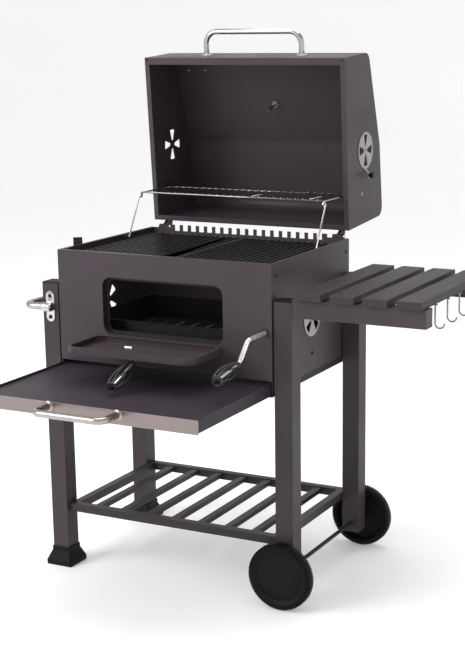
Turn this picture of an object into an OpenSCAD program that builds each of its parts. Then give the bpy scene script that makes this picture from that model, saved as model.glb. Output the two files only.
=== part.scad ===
// Charcoal grill cart: a sheet-metal fire box with a hinged lid, a fold-down fire door,
// a crank-lifted charcoal pan, a pull-out ash drawer, a slatted side table and two wheels.
// Drawn standing on the floor (Z = 0) with the lid open, the fire door down and the ash
// drawer out. X runs to the right, Y to the back and Z up. All sizes are in millimetres.

/* [Fire box] */
// Width of the fire box
body_w = 580; // [560:1:600]
// Depth of the fire box, front to back
body_d = 440; // [430:1:450]
// Height of the fire box's top edge above the floor
body_top = 815; // [813:1:817]
// Height of the front panel's bottom edge above the floor
front_bottom = 543; // [541:1:545]
// Height of the side panels' bottom edge above the floor
side_bottom = 522; // [519:1:524]
// Thickness of the fire box's sheet
sheet = 1.5; // [1:0.1:2]

/* [Fire door] */
// Width of the fire door's opening
door_open_w = 328; // [300:1:330]
// Height of the fire door's opening
door_open_h = 140; // [130:1:142]
// Corner radius of the opening
door_open_r = 24; // [15:1:30]
// How far the door laps over the opening at each side
door_lap = 8; // [5:1:10]
// Depth of the door's pan
door_deep = 16; // [12:1:18]

/* [Lid] */
// Width of the lid
lid_w = 570; // [566:1:574]
// Depth of the lid, front to back, when closed
lid_d = 429; // [420:1:430]
// Height of the lid's front when closed
lid_front_h = 152; // [140:1:160]
// Height of the lid's bend when closed
lid_bend_h = 213; // [205:1:217]
// Height of the lid's back when closed
lid_rear_h = 222; // [218:1:230]
// Radius of the lid's two folded corners
lid_corner_r = 26; // [20:1:32]
// Angle that the lid stands open
lid_open = 86; // [80:1:88]
// Thickness of the lid's sheet
lid_sheet = 1.2; // [1:0.1:1.5]

/* [Cart] */
// Side of the square legs
leg = 45; // [40:1:46]
// Height of the legs' top ends
leg_top = 730; // [725:1:735]
// Gap between the fire box and the legs
leg_gap = 5; // [4:0.5:6]
// Radius of the wheels
wheel_r = 80.8; // [75:0.1:85]
// Width of the wheels
wheel_w = 34; // [30:1:35]
// Height of the bottom shelf's top
shelf_top = 163; // [150:1:175]
// Number of slats in the bottom shelf
shelf_slat_count = 7; // [5:1:10]

/* [Side table] */
// Length of the side table, from the legs outwards
table_l = 321; // [321:1:330]
// Number of slats in the side table
table_slat_count = 4; // [3:1:4]
// Width of one table slat
table_slat_w = 59; // [50:1:62]
// Number of tool hooks under the table's edge
hook_count = 4; // [2:1:4]

/* [Ash drawer] */
// How far the ash drawer is pulled out
drawer_out = 341; // [300:1:345]
// Height of the drawer's stainless front
drawer_h = 32; // [28:1:34]

/* [Charcoal lift] */
// Module of the lift's rack and pinion teeth
gear_module = 1.5; // [1.5:0.1:1.5]
// Number of teeth on each pinion
pinion_teeth = 16; // [16:1:16]

/* [Hidden] */
$fn = 48;

anthracite = [0.32, 0.30, 0.31];
dark_grey = [0.22, 0.20, 0.21];
slat_grey = [0.25, 0.22, 0.22];
black = [0.10, 0.10, 0.10];
steel = [0.75, 0.74, 0.73];
chrome = [0.85, 0.85, 0.86];
rubber_black = [0.08, 0.08, 0.08];

// Clearances
fit = 0.06;         // a pin that turns in its hole
hole_gap = 0.05;    // a bolt in its hole
free_gap = 0.35;    // two faces that slide past each other

// Fire box
half_w = body_w / 2;
inner_w = half_w - sheet;
flange = 9;         // folded top edges of the side panels
return_d = 14;      // folded vertical edges of the front and rear panels
comb_h = 9;         // height of the rear panel's smoke slots above the top edge
comb_half = 230;    // half of the length of the row of smoke slots
comb_pitch = 24.5;
comb_gap = 14;
tab_y = 69;         // upright tab on the left panel
tab_w = 38;
tab_h = 20;

// Fire door
door_open_z = 616;              // bottom of the opening
door_hinge_y = -8.5;
door_hinge_z = 609.5;
door_l = door_open_h + 6;
door_near_y = door_hinge_y - 4;
door_top_z = 617;               // top of the open door's rim
door_sheet = 1.5;
door_half = door_open_w / 2 + door_lap;
door_pin_r = 2;
door_lug_r = 3.2;
door_hinge_x = 110;
collar_d = 16.5;
stem_y = -125;
stem_r = 3.5;
stem_drop = 11;
grip_l = 102;                   // length of each wire cage grip
grip_rod_r = 3;
grip_gap = 6;                   // from the bend in the rod to the grip
grip_tilt = 21;                 // how far the fire door's grip slopes down

// Charcoal lift
crank_x = 274;
crank_z = 656.7;
crank_r = 5;
crank_arm_r = 5;
crank_front_y = -86.5;
crank_rear_y = 446;
crank_arm_dx = -22.8;
crank_arm_dz = -55.7;
crank_grip_tilt = 9;            // how far the crank's grip slopes down
pitch_r = gear_module * pinion_teeth / 2;
tooth_gap = 0.12;               // taken off each side of a tooth at the pitch line
pressure = 20;
gear_w = 8;
gear_y = [45, 385];
rack_back_x = 250;
cradle_z = 576;
cradle_h = 6;
rack_top_z = 674;
guide_r = 4;
guide_left_x = -270;
guide_right_x = 252;
guide_left_y = [60, 380];
guide_right_y = [100, 340];
guide_low_z = 545;
guide_high_z = 745;
pan_z = cradle_z + cradle_h;
pan_h = 58;
pan_x0 = -258;
pan_x1 = 242;
pan_y0 = 58;
pan_y1 = 380;

// Ash drawer
drawer_top = 537;
drawer_half = 284;
drawer_front_half = 288;
drawer_l = 428.5;
drawer_y = -drawer_out;         // the tray's front wall
drawer_floor_z = drawer_top - 6;
drawer_bottom = drawer_top - drawer_h + 1.5;
drawer_foot_x = 89.5;
drawer_bar_y = drawer_y - 1.5 - 62;

// Lid
lid_half = lid_w / 2;
hinge_y = body_d + 12.5;
hinge_z = body_top + 1.5;
lid_y1 = hinge_y - 16.5;        // closed: back face
lid_y0 = lid_y1 - lid_d;        // closed: front face
lid_z0 = body_top + 1;          // closed: bottom edge
lid_bend_d = 240;               // from the lid's front to the bend in its top
lid_bend_r = 90;
lid_slope = atan((lid_bend_h - lid_front_h) / lid_bend_d);
lid_flange = 13;
lid_front_lip = 18;
hinge_x = 255;
hinge_barrel_r = 6;
hinge_pin_r = 3;
hinge_knuckle = 10;
lid_handle_x = 137;
lid_handle_z = 886;
lid_handle_out = 60;
lid_handle_r = 7.2;

// The closed lid's outline in the Y-Z plane, and the arcs that round its three upper corners
lid_path = [
  [lid_y0, lid_z0],
  [lid_y0, lid_z0 + lid_front_h],
  [lid_y0 + lid_bend_d, lid_z0 + lid_bend_h],
  [lid_y1, lid_z0 + lid_rear_h],
  [lid_y1, lid_z0]
];
lid_radii = [lid_corner_r, lid_bend_r, lid_corner_r];
lid_arcs = [for (i = [0:2]) corner_arc(lid_path[i], lid_path[i + 1], lid_path[i + 2], lid_radii[i])];

// The centre and the two ends of the arc of radius r that rounds corner b of the path a, b, c
function corner_arc(a, b, c, r) =
  let (u = (a - b) / norm(a - b), v = (c - b) / norm(c - b), half = acos(u * v) / 2)
    [b + (u + v) / norm(u + v) * r / sin(half), b + u * r / tan(half), b + v * r / tan(half)];

// Warming rack on its parallelogram: each link runs from a pivot by (link_dy, link_dz)
link_dy = 56;
link_dz = 101;
rack_pivot_y = hinge_y + link_dy;
rack_pivot_z = hinge_z + link_dz;
foot_y = 292;
foot_z = 809;
rack_front_y = foot_y + link_dy;
rack_front_z = foot_z + link_dz;
rack_leg_x = 267;
rack_half = 262;
wire_r = 2;
rack_wire_count = 25;

// Vents
vent_r = 47;
vent_inner_r = 11;
vent_outer_r = 40;
vent_angle = 36;
vent_knob_r = 63;
lid_vent_turn = lid_open - 90;  // the tab hangs straight down when the lid is open
body_vent_turn = 45;
body_vent_y = 218;
body_vent_z = 655;
lid_vent_y = 250;
lid_vent_z = 932;

// Cart
leg_x0 = half_w + leg_gap;
leg_x1 = leg_x0 + leg;
leg_y = [2, 390];
leg_wall = 2;
leg_bolt_z = [560, 670];
left_leg_bottom = 12;
right_leg_bottom = 58;
bolt_r = 4;
foot_w = 74;
foot_h = 47;
axle_x = leg_x0 + leg / 2;
axle_r = 5;
wheel_front_y = -36;            // outer face of the front wheel
wheel_rear_y = 448;             // inner face of the rear wheel
hub_r = 16;
tyre_h = 14;
tread_count = 48;

rail = 20;                      // section of the shelf's rails
shelf_y = [14, 403];
shelf_bolt_z = shelf_top - rail / 2;

table_rail_d = 38;
table_rail_h = 42;
table_rail_z = 696;
table_rail_y = [3, 395];
table_slat_t = 19;
table_slat_z = table_rail_z + table_rail_h;
table_slat_l = 441;
table_slat_y = -10;
table_slat_x = 358;
table_slat_pitch = (table_l - 24 - table_slat_w) / (table_slat_count - 1);
hook_y = 80;
hook_pitch = 80;
hook_r = 2;
hook_turn = 11;                 // radius of the hook's bend
hook_x = leg_x1 + table_l - 8;

push_z = 672;
push_r = 9;
push_x = -386;
push_bend = 26;
push_y = [leg_y[0] - push_r - 2.2, leg_y[1] + leg + push_r + 2.2];
push_end_x = -308;

grate_z = 792;
grate_t = 10;
grate_bars = 13;

// The origin of the part is the middle of its footprint, on the floor
box_x0 = push_x - push_r;
box_x1 = hook_x + 2 * hook_turn + hook_r;
box_y0 = drawer_bar_y - 8;
function opened(p) = [
  p[0] * cos(lid_open) + p[1] * sin(lid_open),
  -p[0] * sin(lid_open) + p[1] * cos(lid_open)
];
box_y1 = hinge_y + opened(lid_arcs[2][0] - [hinge_y, hinge_z])[0] + lid_corner_r;
origin = [(box_x0 + box_x1) / 2, (box_y0 + box_y1) / 2, 0];

// ---- helpers ----

module placed() { translate(-origin) children(); }

// Puts a shape drawn on the closed lid where the open lid is
module on_lid() {
  placed()
    translate([0, hinge_y, hinge_z])
      rotate([-lid_open, 0, 0])
        translate([0, -hinge_y, -hinge_z])
          children();
}

// A flat outline of (Y, Z) points, extruded along X
module along_x(x0, x1) {
  translate([x0, 0, 0]) rotate([90, 0, 90]) linear_extrude(x1 - x0) children();
}

// A flat outline of (X, Z) points, extruded along Y
module along_y(y0, y1) {
  translate([0, y1, 0]) rotate([90, 0, 0]) linear_extrude(y1 - y0) children();
}

module box(a, b) { translate(a) cube(b - a); }

module pin_x(x0, x1, y, z, r) { translate([x0, y, z]) rotate([0, 90, 0]) cylinder(r = r, h = x1 - x0); }

module pin_y(y0, y1, x, z, r) { translate([x, y0, z]) rotate([-90, 0, 0]) cylinder(r = r, h = y1 - y0); }

module pin_z(z0, z1, x, y, r) { translate([x, y, z0]) cylinder(r = r, h = z1 - z0); }

// A round bar between two points
module bar(a, b, r) {
  d = b - a;
  translate(a)
    rotate([0, acos(d[2] / norm(d)), atan2(d[1], d[0])])
      cylinder(r = r, h = norm(d));
}

// A bar through a list of points, with ball corners slightly thicker than the bar
module wire(points, r) {
  for (i = [0:len(points) - 2]) bar(points[i], points[i + 1], r);
  for (i = [1:len(points) - 2]) translate(points[i]) sphere(r = r + 0.15);
}

module round_rect(w, h, r) {
  square([w, h - 2 * r], center = true);
  square([w - 2 * r, h], center = true);
  for (x = [-1, 1], y = [-1, 1])
    translate([x * (w / 2 - r), y * (h / 2 - r)]) circle(r = r);
}

// A U-shaped handle in the X-Z plane: feet at z = 0, grip at z = h
module u_handle(half, h, r, bend) {
  for (s = [-1, 1]) {
    translate([s * half, 0, 0]) cylinder(r = r, h = h - bend);
    translate([s * (half - bend), 0, h - bend])
      rotate([90, 0, 0])
        rotate([0, 0, s > 0 ? 0 : 90])
          rotate_extrude(angle = 90) translate([bend, 0]) circle(r = r);
  }
  translate([-(half - bend), 0, h]) rotate([0, 90, 0]) cylinder(r = r, h = 2 * (half - bend));
}

// The openings of a vent, turned by an angle: four sectors of a ring
module vent_openings(turn) {
  intersection() {
    difference() {
      circle(r = vent_outer_r);
      circle(r = vent_inner_r);
    }
    for (a = [0:90:270])
      rotate(turn + a)
        polygon([[0, 0], 60 * [cos(-vent_angle / 2), sin(-vent_angle / 2)],
                 60 * [cos(vent_angle / 2), sin(vent_angle / 2)]]);
  }
}

// A turning vent disc on a wall whose outer side is at x = 0, with its rivet, tab and knob
module vent_disc(turn, wall) {
  rotate([turn, 0, 0]) {
    along_x(free_gap, 1.5)
      difference() {
        circle(r = vent_r);
        vent_openings(0);
      }
    translate([0, 0, -6])
      linear_extrude(12)
        polygon([[free_gap, vent_r - 5], [1.5, vent_r - 5], [1.5, vent_r + 2], [11, vent_knob_r - 4],
                 [11, vent_knob_r - 2], [9.6, vent_knob_r - 2], [free_gap, vent_r + 3.5]]);
    pin_x(8, 22, vent_knob_r, 0, 7.5);
  }
  pin_x(1.5, 4, 0, 0, 8);
  pin_x(-wall - free_gap, 1.5, 0, 0, 4);
  pin_x(-wall - 2.3, -wall - free_gap, 0, 0, 7);
}

// ---- wire cage grips ----

// One wire of a cage around the Z axis. It leans round the axis and bulges in the middle
module cage_wire(l, near_r, far_r, mid_r, lean, w) {
  a = near_r * [cos(lean), -sin(lean)];
  b = far_r * [cos(lean / 2), sin(lean / 2)];
  chord = [b[0] - a[0], b[1] - a[1], l];
  rise = mid_r - (a[0] + b[0]) / 2;
  half = norm(chord) / 2;
  arc_r = (half * half + rise * rise) / (2 * rise);
  sweep = 2 * asin(half / arc_r);
  translate([(a[0] + b[0]) / 2, (a[1] + b[1]) / 2, l / 2])
    rotate([-atan(chord[1] / l), 0, 0])
      rotate([0, asin(chord[0] / norm(chord)), 0])
        translate([rise - arc_r, 0, 0]) rotate([90, 0, 0]) rotate(-sweep / 2)
          rotate_extrude(angle = sweep) translate([arc_r, 0]) circle(r = w);
}

// A cage grip around the Z axis, with a ferrule at z = 0 and a ring and washer at z = l
module cage_grip(l, bore_r) {
  ferrule = 8;
  ring_r = 11.5;
  difference() {
    union() {
      cylinder(r = 8.3, h = ferrule);
      translate([0, 0, l - 3.5]) cylinder(r = ring_r, h = 2);
    }
    translate([0, 0, -1]) cylinder(r = bore_r, h = l + 2);
  }
  translate([0, 0, l - 2.5]) rotate_extrude() translate([ring_r, 0]) circle(r = 2.1);
  for (a = [0:72:288])
    rotate(a) translate([0, 0, ferrule - 2]) cage_wire(l - ferrule - 0.5, 5.9, ring_r, 17, 50, 1.9);
}

// ---- fire box ----

module door_opening(grow) {
  translate([0, door_open_z + door_open_h / 2])
    round_rect(door_open_w + 2 * grow, door_open_h + 2 * grow, door_open_r + grow);
}

module front_panel() {
  color(anthracite) placed() difference() {
    union() {
      along_y(0, sheet)
        difference() {
          translate([-half_w, front_bottom]) square([body_w, body_top - front_bottom]);
          door_opening(0);
        }
      box([-half_w, sheet, body_top - sheet], [half_w, 12, body_top]);
      box([-inner_w, sheet, front_bottom], [inner_w, 12, front_bottom + sheet]);
      for (s = [-1, 1])
        box([s * inner_w - (s > 0 ? sheet : 0), sheet, front_bottom],
            [s * inner_w + (s > 0 ? 0 : sheet), sheet + return_d, body_top - sheet]);
    }
    pin_y(-1, 5, crank_x, crank_z, 7 + hole_gap);
  }
}

// Holes that both side panels share, drawn for the right-hand one
module side_holes() {
  for (y = leg_y, z = leg_bolt_z) pin_x(inner_w - 1, half_w + 1, y + leg / 2, z, bolt_r + hole_gap);
  for (p = screw_places) pin_x(inner_w - 1, half_w + 1, p[0], p[1], 2.5 + hole_gap);
  translate([0, body_vent_y, body_vent_z]) {
    along_x(inner_w - 1, half_w + 1) vent_openings(body_vent_turn);
    pin_x(inner_w - 1, half_w + 1, 0, 0, 4 + fit);
  }
}

screw_places = [[22, 786], [420, 784], [218, 566]];

module side_panel() {
  difference() {
    union() {
      box([inner_w, sheet, side_bottom], [half_w, body_d, body_top - sheet]);
      box([half_w - flange, 12, body_top - sheet], [half_w, body_d, body_top]);
    }
    side_holes();
  }
}

module left_panel() {
  color(anthracite) placed() {
    mirror([1, 0, 0]) side_panel();
    along_x(-half_w, -inner_w)
      polygon([[tab_y, body_top], [tab_y + tab_w, body_top],
               [tab_y + tab_w, body_top + tab_h - 4], [tab_y, body_top + tab_h]]);
  }
}

module right_panel() { color(anthracite) placed() side_panel(); }

module rear_panel() {
  slots = floor(2 * comb_half / comb_pitch);
  color(anthracite) placed() difference() {
    union() {
      box([-inner_w, body_d - sheet, side_bottom], [inner_w, body_d, body_top - sheet]);
      box([-half_w + flange, body_d - sheet, body_top - sheet],
          [half_w - flange, body_d, body_top]);
      box([-comb_half, body_d - sheet, body_top - 1], [comb_half, body_d, body_top + comb_h]);
      for (s = [-1, 1])
        box([s * inner_w - (s > 0 ? sheet : 0), body_d - sheet - return_d, side_bottom],
            [s * inner_w + (s > 0 ? 0 : sheet), body_d - sheet, body_top - sheet]);
    }
    for (i = [0:slots - 1])
      translate([(i - (slots - 1) / 2) * comb_pitch - comb_gap / 2, body_d - 5, body_top - 7])
        cube([comb_gap, 10, comb_h + 20]);
    pin_y(body_d - 5, body_d + 5, crank_x, crank_z, 7 + hole_gap);
  }
}

// The deep frame behind the fire door's opening
module door_collar() {
  color(dark_grey) placed() {
    along_y(sheet, sheet + collar_d)
      difference() {
        door_opening(sheet);
        door_opening(0);
      }
    along_y(collar_d, collar_d + sheet)
      difference() {
        door_opening(sheet);
        door_opening(-8);
      }
  }
}

module door_hinge_brackets() {
  color(dark_grey) placed()
    for (s = [-1, 1]) {
      pin_x(s * door_hinge_x - 14, s * door_hinge_x + 14, door_hinge_y, door_hinge_z, door_pin_r);
      for (x = [-9, 7])
        translate([s * door_hinge_x + x, 0, 0]) {
          along_x(0, 2)
            union() {
              translate([door_hinge_y, door_hinge_z]) circle(r = door_lug_r);
              translate([door_hinge_y, door_hinge_z - door_lug_r])
                square([-door_hinge_y, 2 * door_lug_r]);
            }
        }
    }
}

module grate_ledges() {
  color(dark_grey) placed()
    for (rear = [0, 1])
      translate([0, rear * body_d, 0]) mirror([0, rear, 0]) difference() {
        union() {
          box([-inner_w + 2, sheet, grate_z - 18], [inner_w - 2, sheet + 1.5, grate_z]);
          box([-inner_w + 2, sheet, grate_z - 1.5], [inner_w - 2, sheet + 20, grate_z]);
          for (s = [-1, 1])
            box([s * (inner_w - 1) - 1, sheet + return_d + 0.5, grate_z - 18],
                [s * (inner_w - 1) + 1, sheet + 29, grate_z]);
        }
        for (s = [-1, 1])
          pin_x(s * inner_w - 5, s * inner_w + 5,
                rear == 0 ? screw_places[0][0] : body_d - screw_places[1][0],
                screw_places[rear][1], 2.5 + hole_gap);
      }
}

module drawer_runners() {
  foot_z = drawer_bottom - free_gap;
  color(dark_grey) placed()
    for (s = [0, 1]) mirror([s, 0, 0]) difference() {
      union() {
        box([inner_w - 1.5, sheet + 2, foot_z - 1.5], [inner_w, body_d - 18, front_bottom - 3]);
        box([inner_w - 14, sheet + 2, foot_z - 1.5], [inner_w, body_d - 18, foot_z]);
        box([inner_w - 1.5, screw_places[2][0] - 10, front_bottom - 4],
            [inner_w, screw_places[2][0] + 10, screw_places[2][1] + 9]);
      }
      pin_x(inner_w - 5, inner_w + 5, screw_places[2][0], screw_places[2][1], 2.5 + hole_gap);
    }
}

module lift_guide(x, y, wall_x) {
  pin_z(guide_low_z, guide_high_z, x, y, guide_r);
  pin_z(cradle_z - 6, cradle_z - free_gap, x, y, 7);
  for (z = [guide_low_z, guide_high_z - 3])
    box([min(x - 6, wall_x), y - 8, z], [max(x + 6, wall_x), y + 8, z + 3]);
}

module lift_guides() {
  color(dark_grey) placed() {
    for (y = guide_left_y) lift_guide(guide_left_x, y, -inner_w);
    for (y = guide_right_y) lift_guide(guide_right_x, y, inner_w);
  }
}

module crank_bushes() {
  color(steel) placed()
    for (y = [0, body_d - sheet])
      difference() {
        union() {
          pin_y(y - (y > 0 ? 4 : 0), y + (y > 0 ? sheet : 5.5), crank_x, crank_z, 7);
          pin_y(y > 0 ? body_d : -2, y > 0 ? body_d + 2 : 0, crank_x, crank_z, 9);
        }
        pin_y(y - 10, y + 10, crank_x, crank_z, crank_r + fit);
      }
}

module panel_screws() {
  color(black) placed()
    for (s = [0, 1], p = screw_places) mirror([s, 0, 0]) {
      pin_x(inner_w - 6, half_w, p[0], p[1], 2.5);
      pin_x(half_w, half_w + 2.5, p[0], p[1], 5);
    }
}

// ---- legs, shelf and wheels ----

module leg_tube(y, bottom, holes) {
  difference() {
    box([leg_x0, y, bottom], [leg_x1, y + leg, leg_top]);
    box([leg_x0 + leg_wall, y + leg_wall, bottom - 1],
        [leg_x1 - leg_wall, y + leg - leg_wall, leg_top + 1]);
    for (z = leg_bolt_z) pin_x(leg_x0 - 1, leg_x0 + leg_wall + 1, y + leg / 2, z, bolt_r + hole_gap);
    pin_x(leg_x0 - 1, leg_x0 + leg_wall + 1, shelf_bolt_y(y), shelf_bolt_z, 3 + hole_gap);
    if (holes == "right") {
      pin_y(y - 1, y + leg + 1, axle_x, wheel_r, axle_r + hole_gap);
      pin_x(leg_x0 - 1, leg_x1 + 1, table_bolt_y(y), table_bolt_z, 3 + hole_gap);
    }
  }
}

function shelf_bolt_y(y) = (y < body_d / 2 ? shelf_y[0] : shelf_y[1]) + rail / 2;
function table_bolt_y(y) = (y < body_d / 2 ? table_rail_y[0] : table_rail_y[1]) + table_rail_d / 2;
table_bolt_z = table_rail_z + table_rail_h / 2 - 4;

module left_legs() {
  color(anthracite) placed() mirror([1, 0, 0])
    for (y = leg_y) leg_tube(y, left_leg_bottom, "left");
}

module right_legs() {
  color(anthracite) placed() for (y = leg_y) leg_tube(y, right_leg_bottom, "right");
}

module leg_cap(x, y, z, up) {
  inner = leg / 2 - leg_wall - 0.3;
  translate([x, y, z]) mirror([0, 0, up ? 0 : 1]) {
    translate([-leg / 2, -leg / 2, 0]) cube([leg, leg, 2.5]);
    translate([-inner, -inner, -10]) cube([2 * inner, 2 * inner, 10]);
  }
}

module leg_caps() {
  color(black) placed()
    for (y = leg_y) {
      for (x = [-axle_x, axle_x]) leg_cap(x, y + leg / 2, leg_top, true);
      leg_cap(axle_x, y + leg / 2, right_leg_bottom, false);
    }
}

module feet() {
  neck = leg + 6;
  base_h = 12;
  flare_h = 24;
  color(rubber_black) placed()
    for (y = leg_y)
      translate([-axle_x, y + leg / 2, 0])
        difference() {
          union() {
            translate([-foot_w / 2, -foot_w / 2, 0]) cube([foot_w, foot_w, base_h]);
            translate([0, 0, base_h])
              linear_extrude(flare_h, scale = neck / foot_w) square(foot_w, center = true);
            translate([-neck / 2, -neck / 2, base_h + flare_h])
              cube([neck, neck, foot_h - base_h - flare_h]);
          }
          translate([-leg / 2 - 0.3, -leg / 2 - 0.3, left_leg_bottom]) cube([leg + 0.6, leg + 0.6, foot_h]);
        }
}

// One M8 bolt along X, with its head hidden in the leg's tube and its nut inside the fire box
module leg_bolt(y, z) {
  pin_x(inner_w - 8, leg_x0 + leg_wall, y, z, bolt_r);
  pin_x(leg_x0 + leg_wall, leg_x0 + leg_wall + 4, y, z, 8);
  difference() {
    pin_x(inner_w - 6.5, inner_w, y, z, 7);
    pin_x(inner_w - 7, inner_w + 1, y, z, bolt_r);
  }
}

module frame_bolts() {
  color(black) placed() {
    for (s = [0, 1]) mirror([s, 0, 0])
      for (y = leg_y) {
        for (z = leg_bolt_z) leg_bolt(y + leg / 2, z);
        pin_x(leg_x0 - 15, leg_x0 + leg_wall, shelf_bolt_y(y), shelf_bolt_z, 3);
        pin_x(leg_x0 + leg_wall, leg_x0 + leg_wall + 3, shelf_bolt_y(y), shelf_bolt_z, 6);
      }
    for (y = leg_y) {
      pin_x(leg_x0 - 3, leg_x0, table_bolt_y(y), table_bolt_z, 6);
      pin_x(leg_x0, leg_x1 + 15, table_bolt_y(y), table_bolt_z, 3);
    }
  }
}

module leg_spacers() {
  color(black) placed()
    for (s = [0, 1], y = leg_y, z = leg_bolt_z) mirror([s, 0, 0])
      difference() {
        pin_x(half_w, leg_x0, y + leg / 2, z, 9);
        pin_x(half_w - 1, leg_x0 + 1, y + leg / 2, z, bolt_r + hole_gap);
      }
}

module shelf_frame() {
  color(anthracite) placed() difference() {
    union() {
      for (y = shelf_y) box([-leg_x0, y, shelf_top - rail], [leg_x0, y + rail, shelf_top]);
      for (s = [-1, 1])
        box([s * (leg_x0 - rail / 2) - rail / 2, shelf_y[0] + rail, shelf_top - rail],
            [s * (leg_x0 - rail / 2) + rail / 2, shelf_y[1], shelf_top]);
    }
    for (s = [-1, 1], y = leg_y)
      pin_x(s * leg_x0 - 16, s * leg_x0 + 16, shelf_bolt_y(y), shelf_bolt_z, 3 + hole_gap);
  }
}

module shelf_slats() {
  pitch = 2 * leg_x0 / (shelf_slat_count + 1);
  color(anthracite) placed()
    for (i = [1:shelf_slat_count])
      box([i * pitch - leg_x0 - 10, shelf_y[0] + rail, shelf_top - 14],
          [i * pitch - leg_x0 + 10, shelf_y[1], shelf_top - 2]);
}

module axle() {
  color(dark_grey) placed()
    pin_y(wheel_front_y + 8, wheel_rear_y + wheel_w - 8, axle_x, wheel_r, axle_r);
}

module axle_nuts() {
  color(steel) placed()
    for (y = [wheel_front_y + 6.5, wheel_rear_y + wheel_w - 11.5])
      difference() {
        pin_y(y, y + 5, axle_x, wheel_r, 9);
        pin_y(y - 1, y + 6, axle_x, wheel_r, axle_r);
      }
}

// A wheel around the Z axis with its outer face at z = 0 and its hub reaching past z = wheel_w
module wheel(hub_l) {
  pocket = 14;
  rotate_extrude($fn = 96)
    difference() {
      union() {
        translate([wheel_r - tyre_h, 0]) {
          translate([0, 3]) square([tyre_h, wheel_w - 6]);
          square([tyre_h - 3, wheel_w]);
          translate([tyre_h - 3, 3]) circle(r = 3);
          translate([tyre_h - 3, wheel_w - 3]) circle(r = 3);
        }
        translate([0, 3]) square([wheel_r - tyre_h, 3]);
        translate([0, 12]) square([wheel_r - tyre_h, 4]);
        translate([0, 3]) square([hub_r, hub_l - 3]);
      }
      translate([-1, 6]) square([10.5, pocket - 6]);
      translate([-1, 5]) square([axle_r + fit + 1, hub_l]);
      translate([wheel_r - tyre_h - 3, 2]) square([2, 2]);
    }
  for (a = [0:60:300])
    rotate(a) translate([hub_r - 1, -1.5, 15]) cube([wheel_r - tyre_h - hub_r + 2, 3, wheel_w - 21]);
}

module wheel_front() {
  color(rubber_black) placed()
    translate([axle_x, wheel_front_y, wheel_r]) rotate([-90, 0, 0])
      wheel(leg_y[0] - wheel_front_y - 1);
}

module wheel_rear() {
  color(rubber_black) placed()
    translate([axle_x, wheel_rear_y + wheel_w, wheel_r]) rotate([90, 0, 0])
      wheel(wheel_rear_y + wheel_w - leg_y[1] - leg - 1);
}

// ---- side table and push handle ----

module table_rails() {
  w = table_rail_d;
  color(anthracite) placed()
    for (y = table_rail_y)
      difference() {
        box([leg_x1, y, table_rail_z], [leg_x1 + table_l, y + w, table_rail_z + table_rail_h]);
        box([leg_x1 + 18, y + 2, table_rail_z + 2],
            [leg_x1 + table_l - 4, y + w - 2, table_rail_z + table_rail_h - 2]);
        pin_x(leg_x1 - 1, leg_x1 + 17, y + w / 2, table_bolt_z, 3 + hole_gap);
      }
}

module table_slats() {
  color(slat_grey) placed()
    for (i = [0:table_slat_count - 1])
      translate([table_slat_x + i * table_slat_pitch, table_slat_y, table_slat_z])
        cube([table_slat_w, table_slat_l, table_slat_t]);
}

// A J-shaped hook that hangs from a small plate under the last slat
module tool_hook(y) {
  drop = 42;
  translate([hook_x, y, table_slat_z]) {
    translate([-14, -6, -1.5]) cube([18, 12, 1.5]);
    translate([0, 0, -drop]) cylinder(r = hook_r, h = drop - 1);
    translate([hook_turn, 0, -drop])
      rotate([90, 0, 0]) rotate(180)
        rotate_extrude(angle = 180) translate([hook_turn, 0]) circle(r = hook_r);
  }
}

module table_hooks() {
  color(chrome) placed() for (i = [0:hook_count - 1]) tool_hook(hook_y + i * hook_pitch);
}

module push_handle() {
  color(chrome) placed() {
    for (y = push_y) pin_x(push_x + push_bend, push_end_x, y, push_z, push_r);
    pin_y(push_y[0] + push_bend, push_y[1] - push_bend, push_x, push_z, push_r);
    translate([push_x + push_bend, push_y[0] + push_bend, push_z])
      rotate(180) rotate_extrude(angle = 90) translate([push_bend, 0]) circle(r = push_r);
    translate([push_x + push_bend, push_y[1] - push_bend, push_z])
      rotate(90) rotate_extrude(angle = 90) translate([push_bend, 0]) circle(r = push_r);
  }
}

// Stamped clamps that hold the push handle to the legs, each with two screw eyes
module handle_brackets() {
  x0 = -330;
  color(steel) placed()
    for (rear = [0, 1]) {
      face = rear == 0 ? leg_y[0] - 2 : leg_y[1] + leg;
      difference() {
        union() {
          along_y(face, face + 2)
            translate([x0 + 12, push_z])
              union() {
                square([24, 52], center = true);
                for (z = [-26, 26]) translate([0, z]) circle(r = 12);
              }
          pin_x(x0, x0 + 24, push_y[rear], push_z, push_r + 2.5);
        }
        pin_x(x0 - 1, push_end_x, push_y[rear], push_z, push_r + hole_gap);
        box([x0 - 1, rear == 0 ? leg_y[0] : leg_y[1], push_z - 20],
            [x0 + 25, leg_y[rear] + leg, push_z + 20]);
        for (z = [-26, 26]) pin_y(face - 1, face + 3, x0 + 12, push_z + z, 4);
      }
    }
}

// ---- cooking grates and warming rack ----

// One half of the cooking grate, drawn for the right-hand side
module cooking_grate() {
  x0 = 1;
  x1 = inner_w - 18;
  y0 = sheet + 3;
  y1 = body_d - sheet - 3;
  pitch = (x1 - x0 - 8) / (grate_bars + 1);
  difference() {
    box([x0, y0, grate_z], [x1, y1, grate_z + grate_t]);
    box([x0 + 8, y0 + 8, grate_z - 1], [x1 - 8, y1 - 8, grate_z + grate_t + 1]);
  }
  for (i = [1:grate_bars])
    box([x0 + i * pitch + 1, y0 + 7, grate_z + 1], [x0 + i * pitch + 7, y1 - 7, grate_z + grate_t]);
  for (f = [1, 2])
    box([x0 + 7, y0 + f * (y1 - y0) / 3 - 4, grate_z], [x1 - 7, y0 + f * (y1 - y0) / 3 + 4, grate_z + 6]);
}

module cooking_grate_left() { color(black) placed() mirror([1, 0, 0]) cooking_grate(); }

module cooking_grate_right() { color(black) placed() cooking_grate(); }

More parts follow.
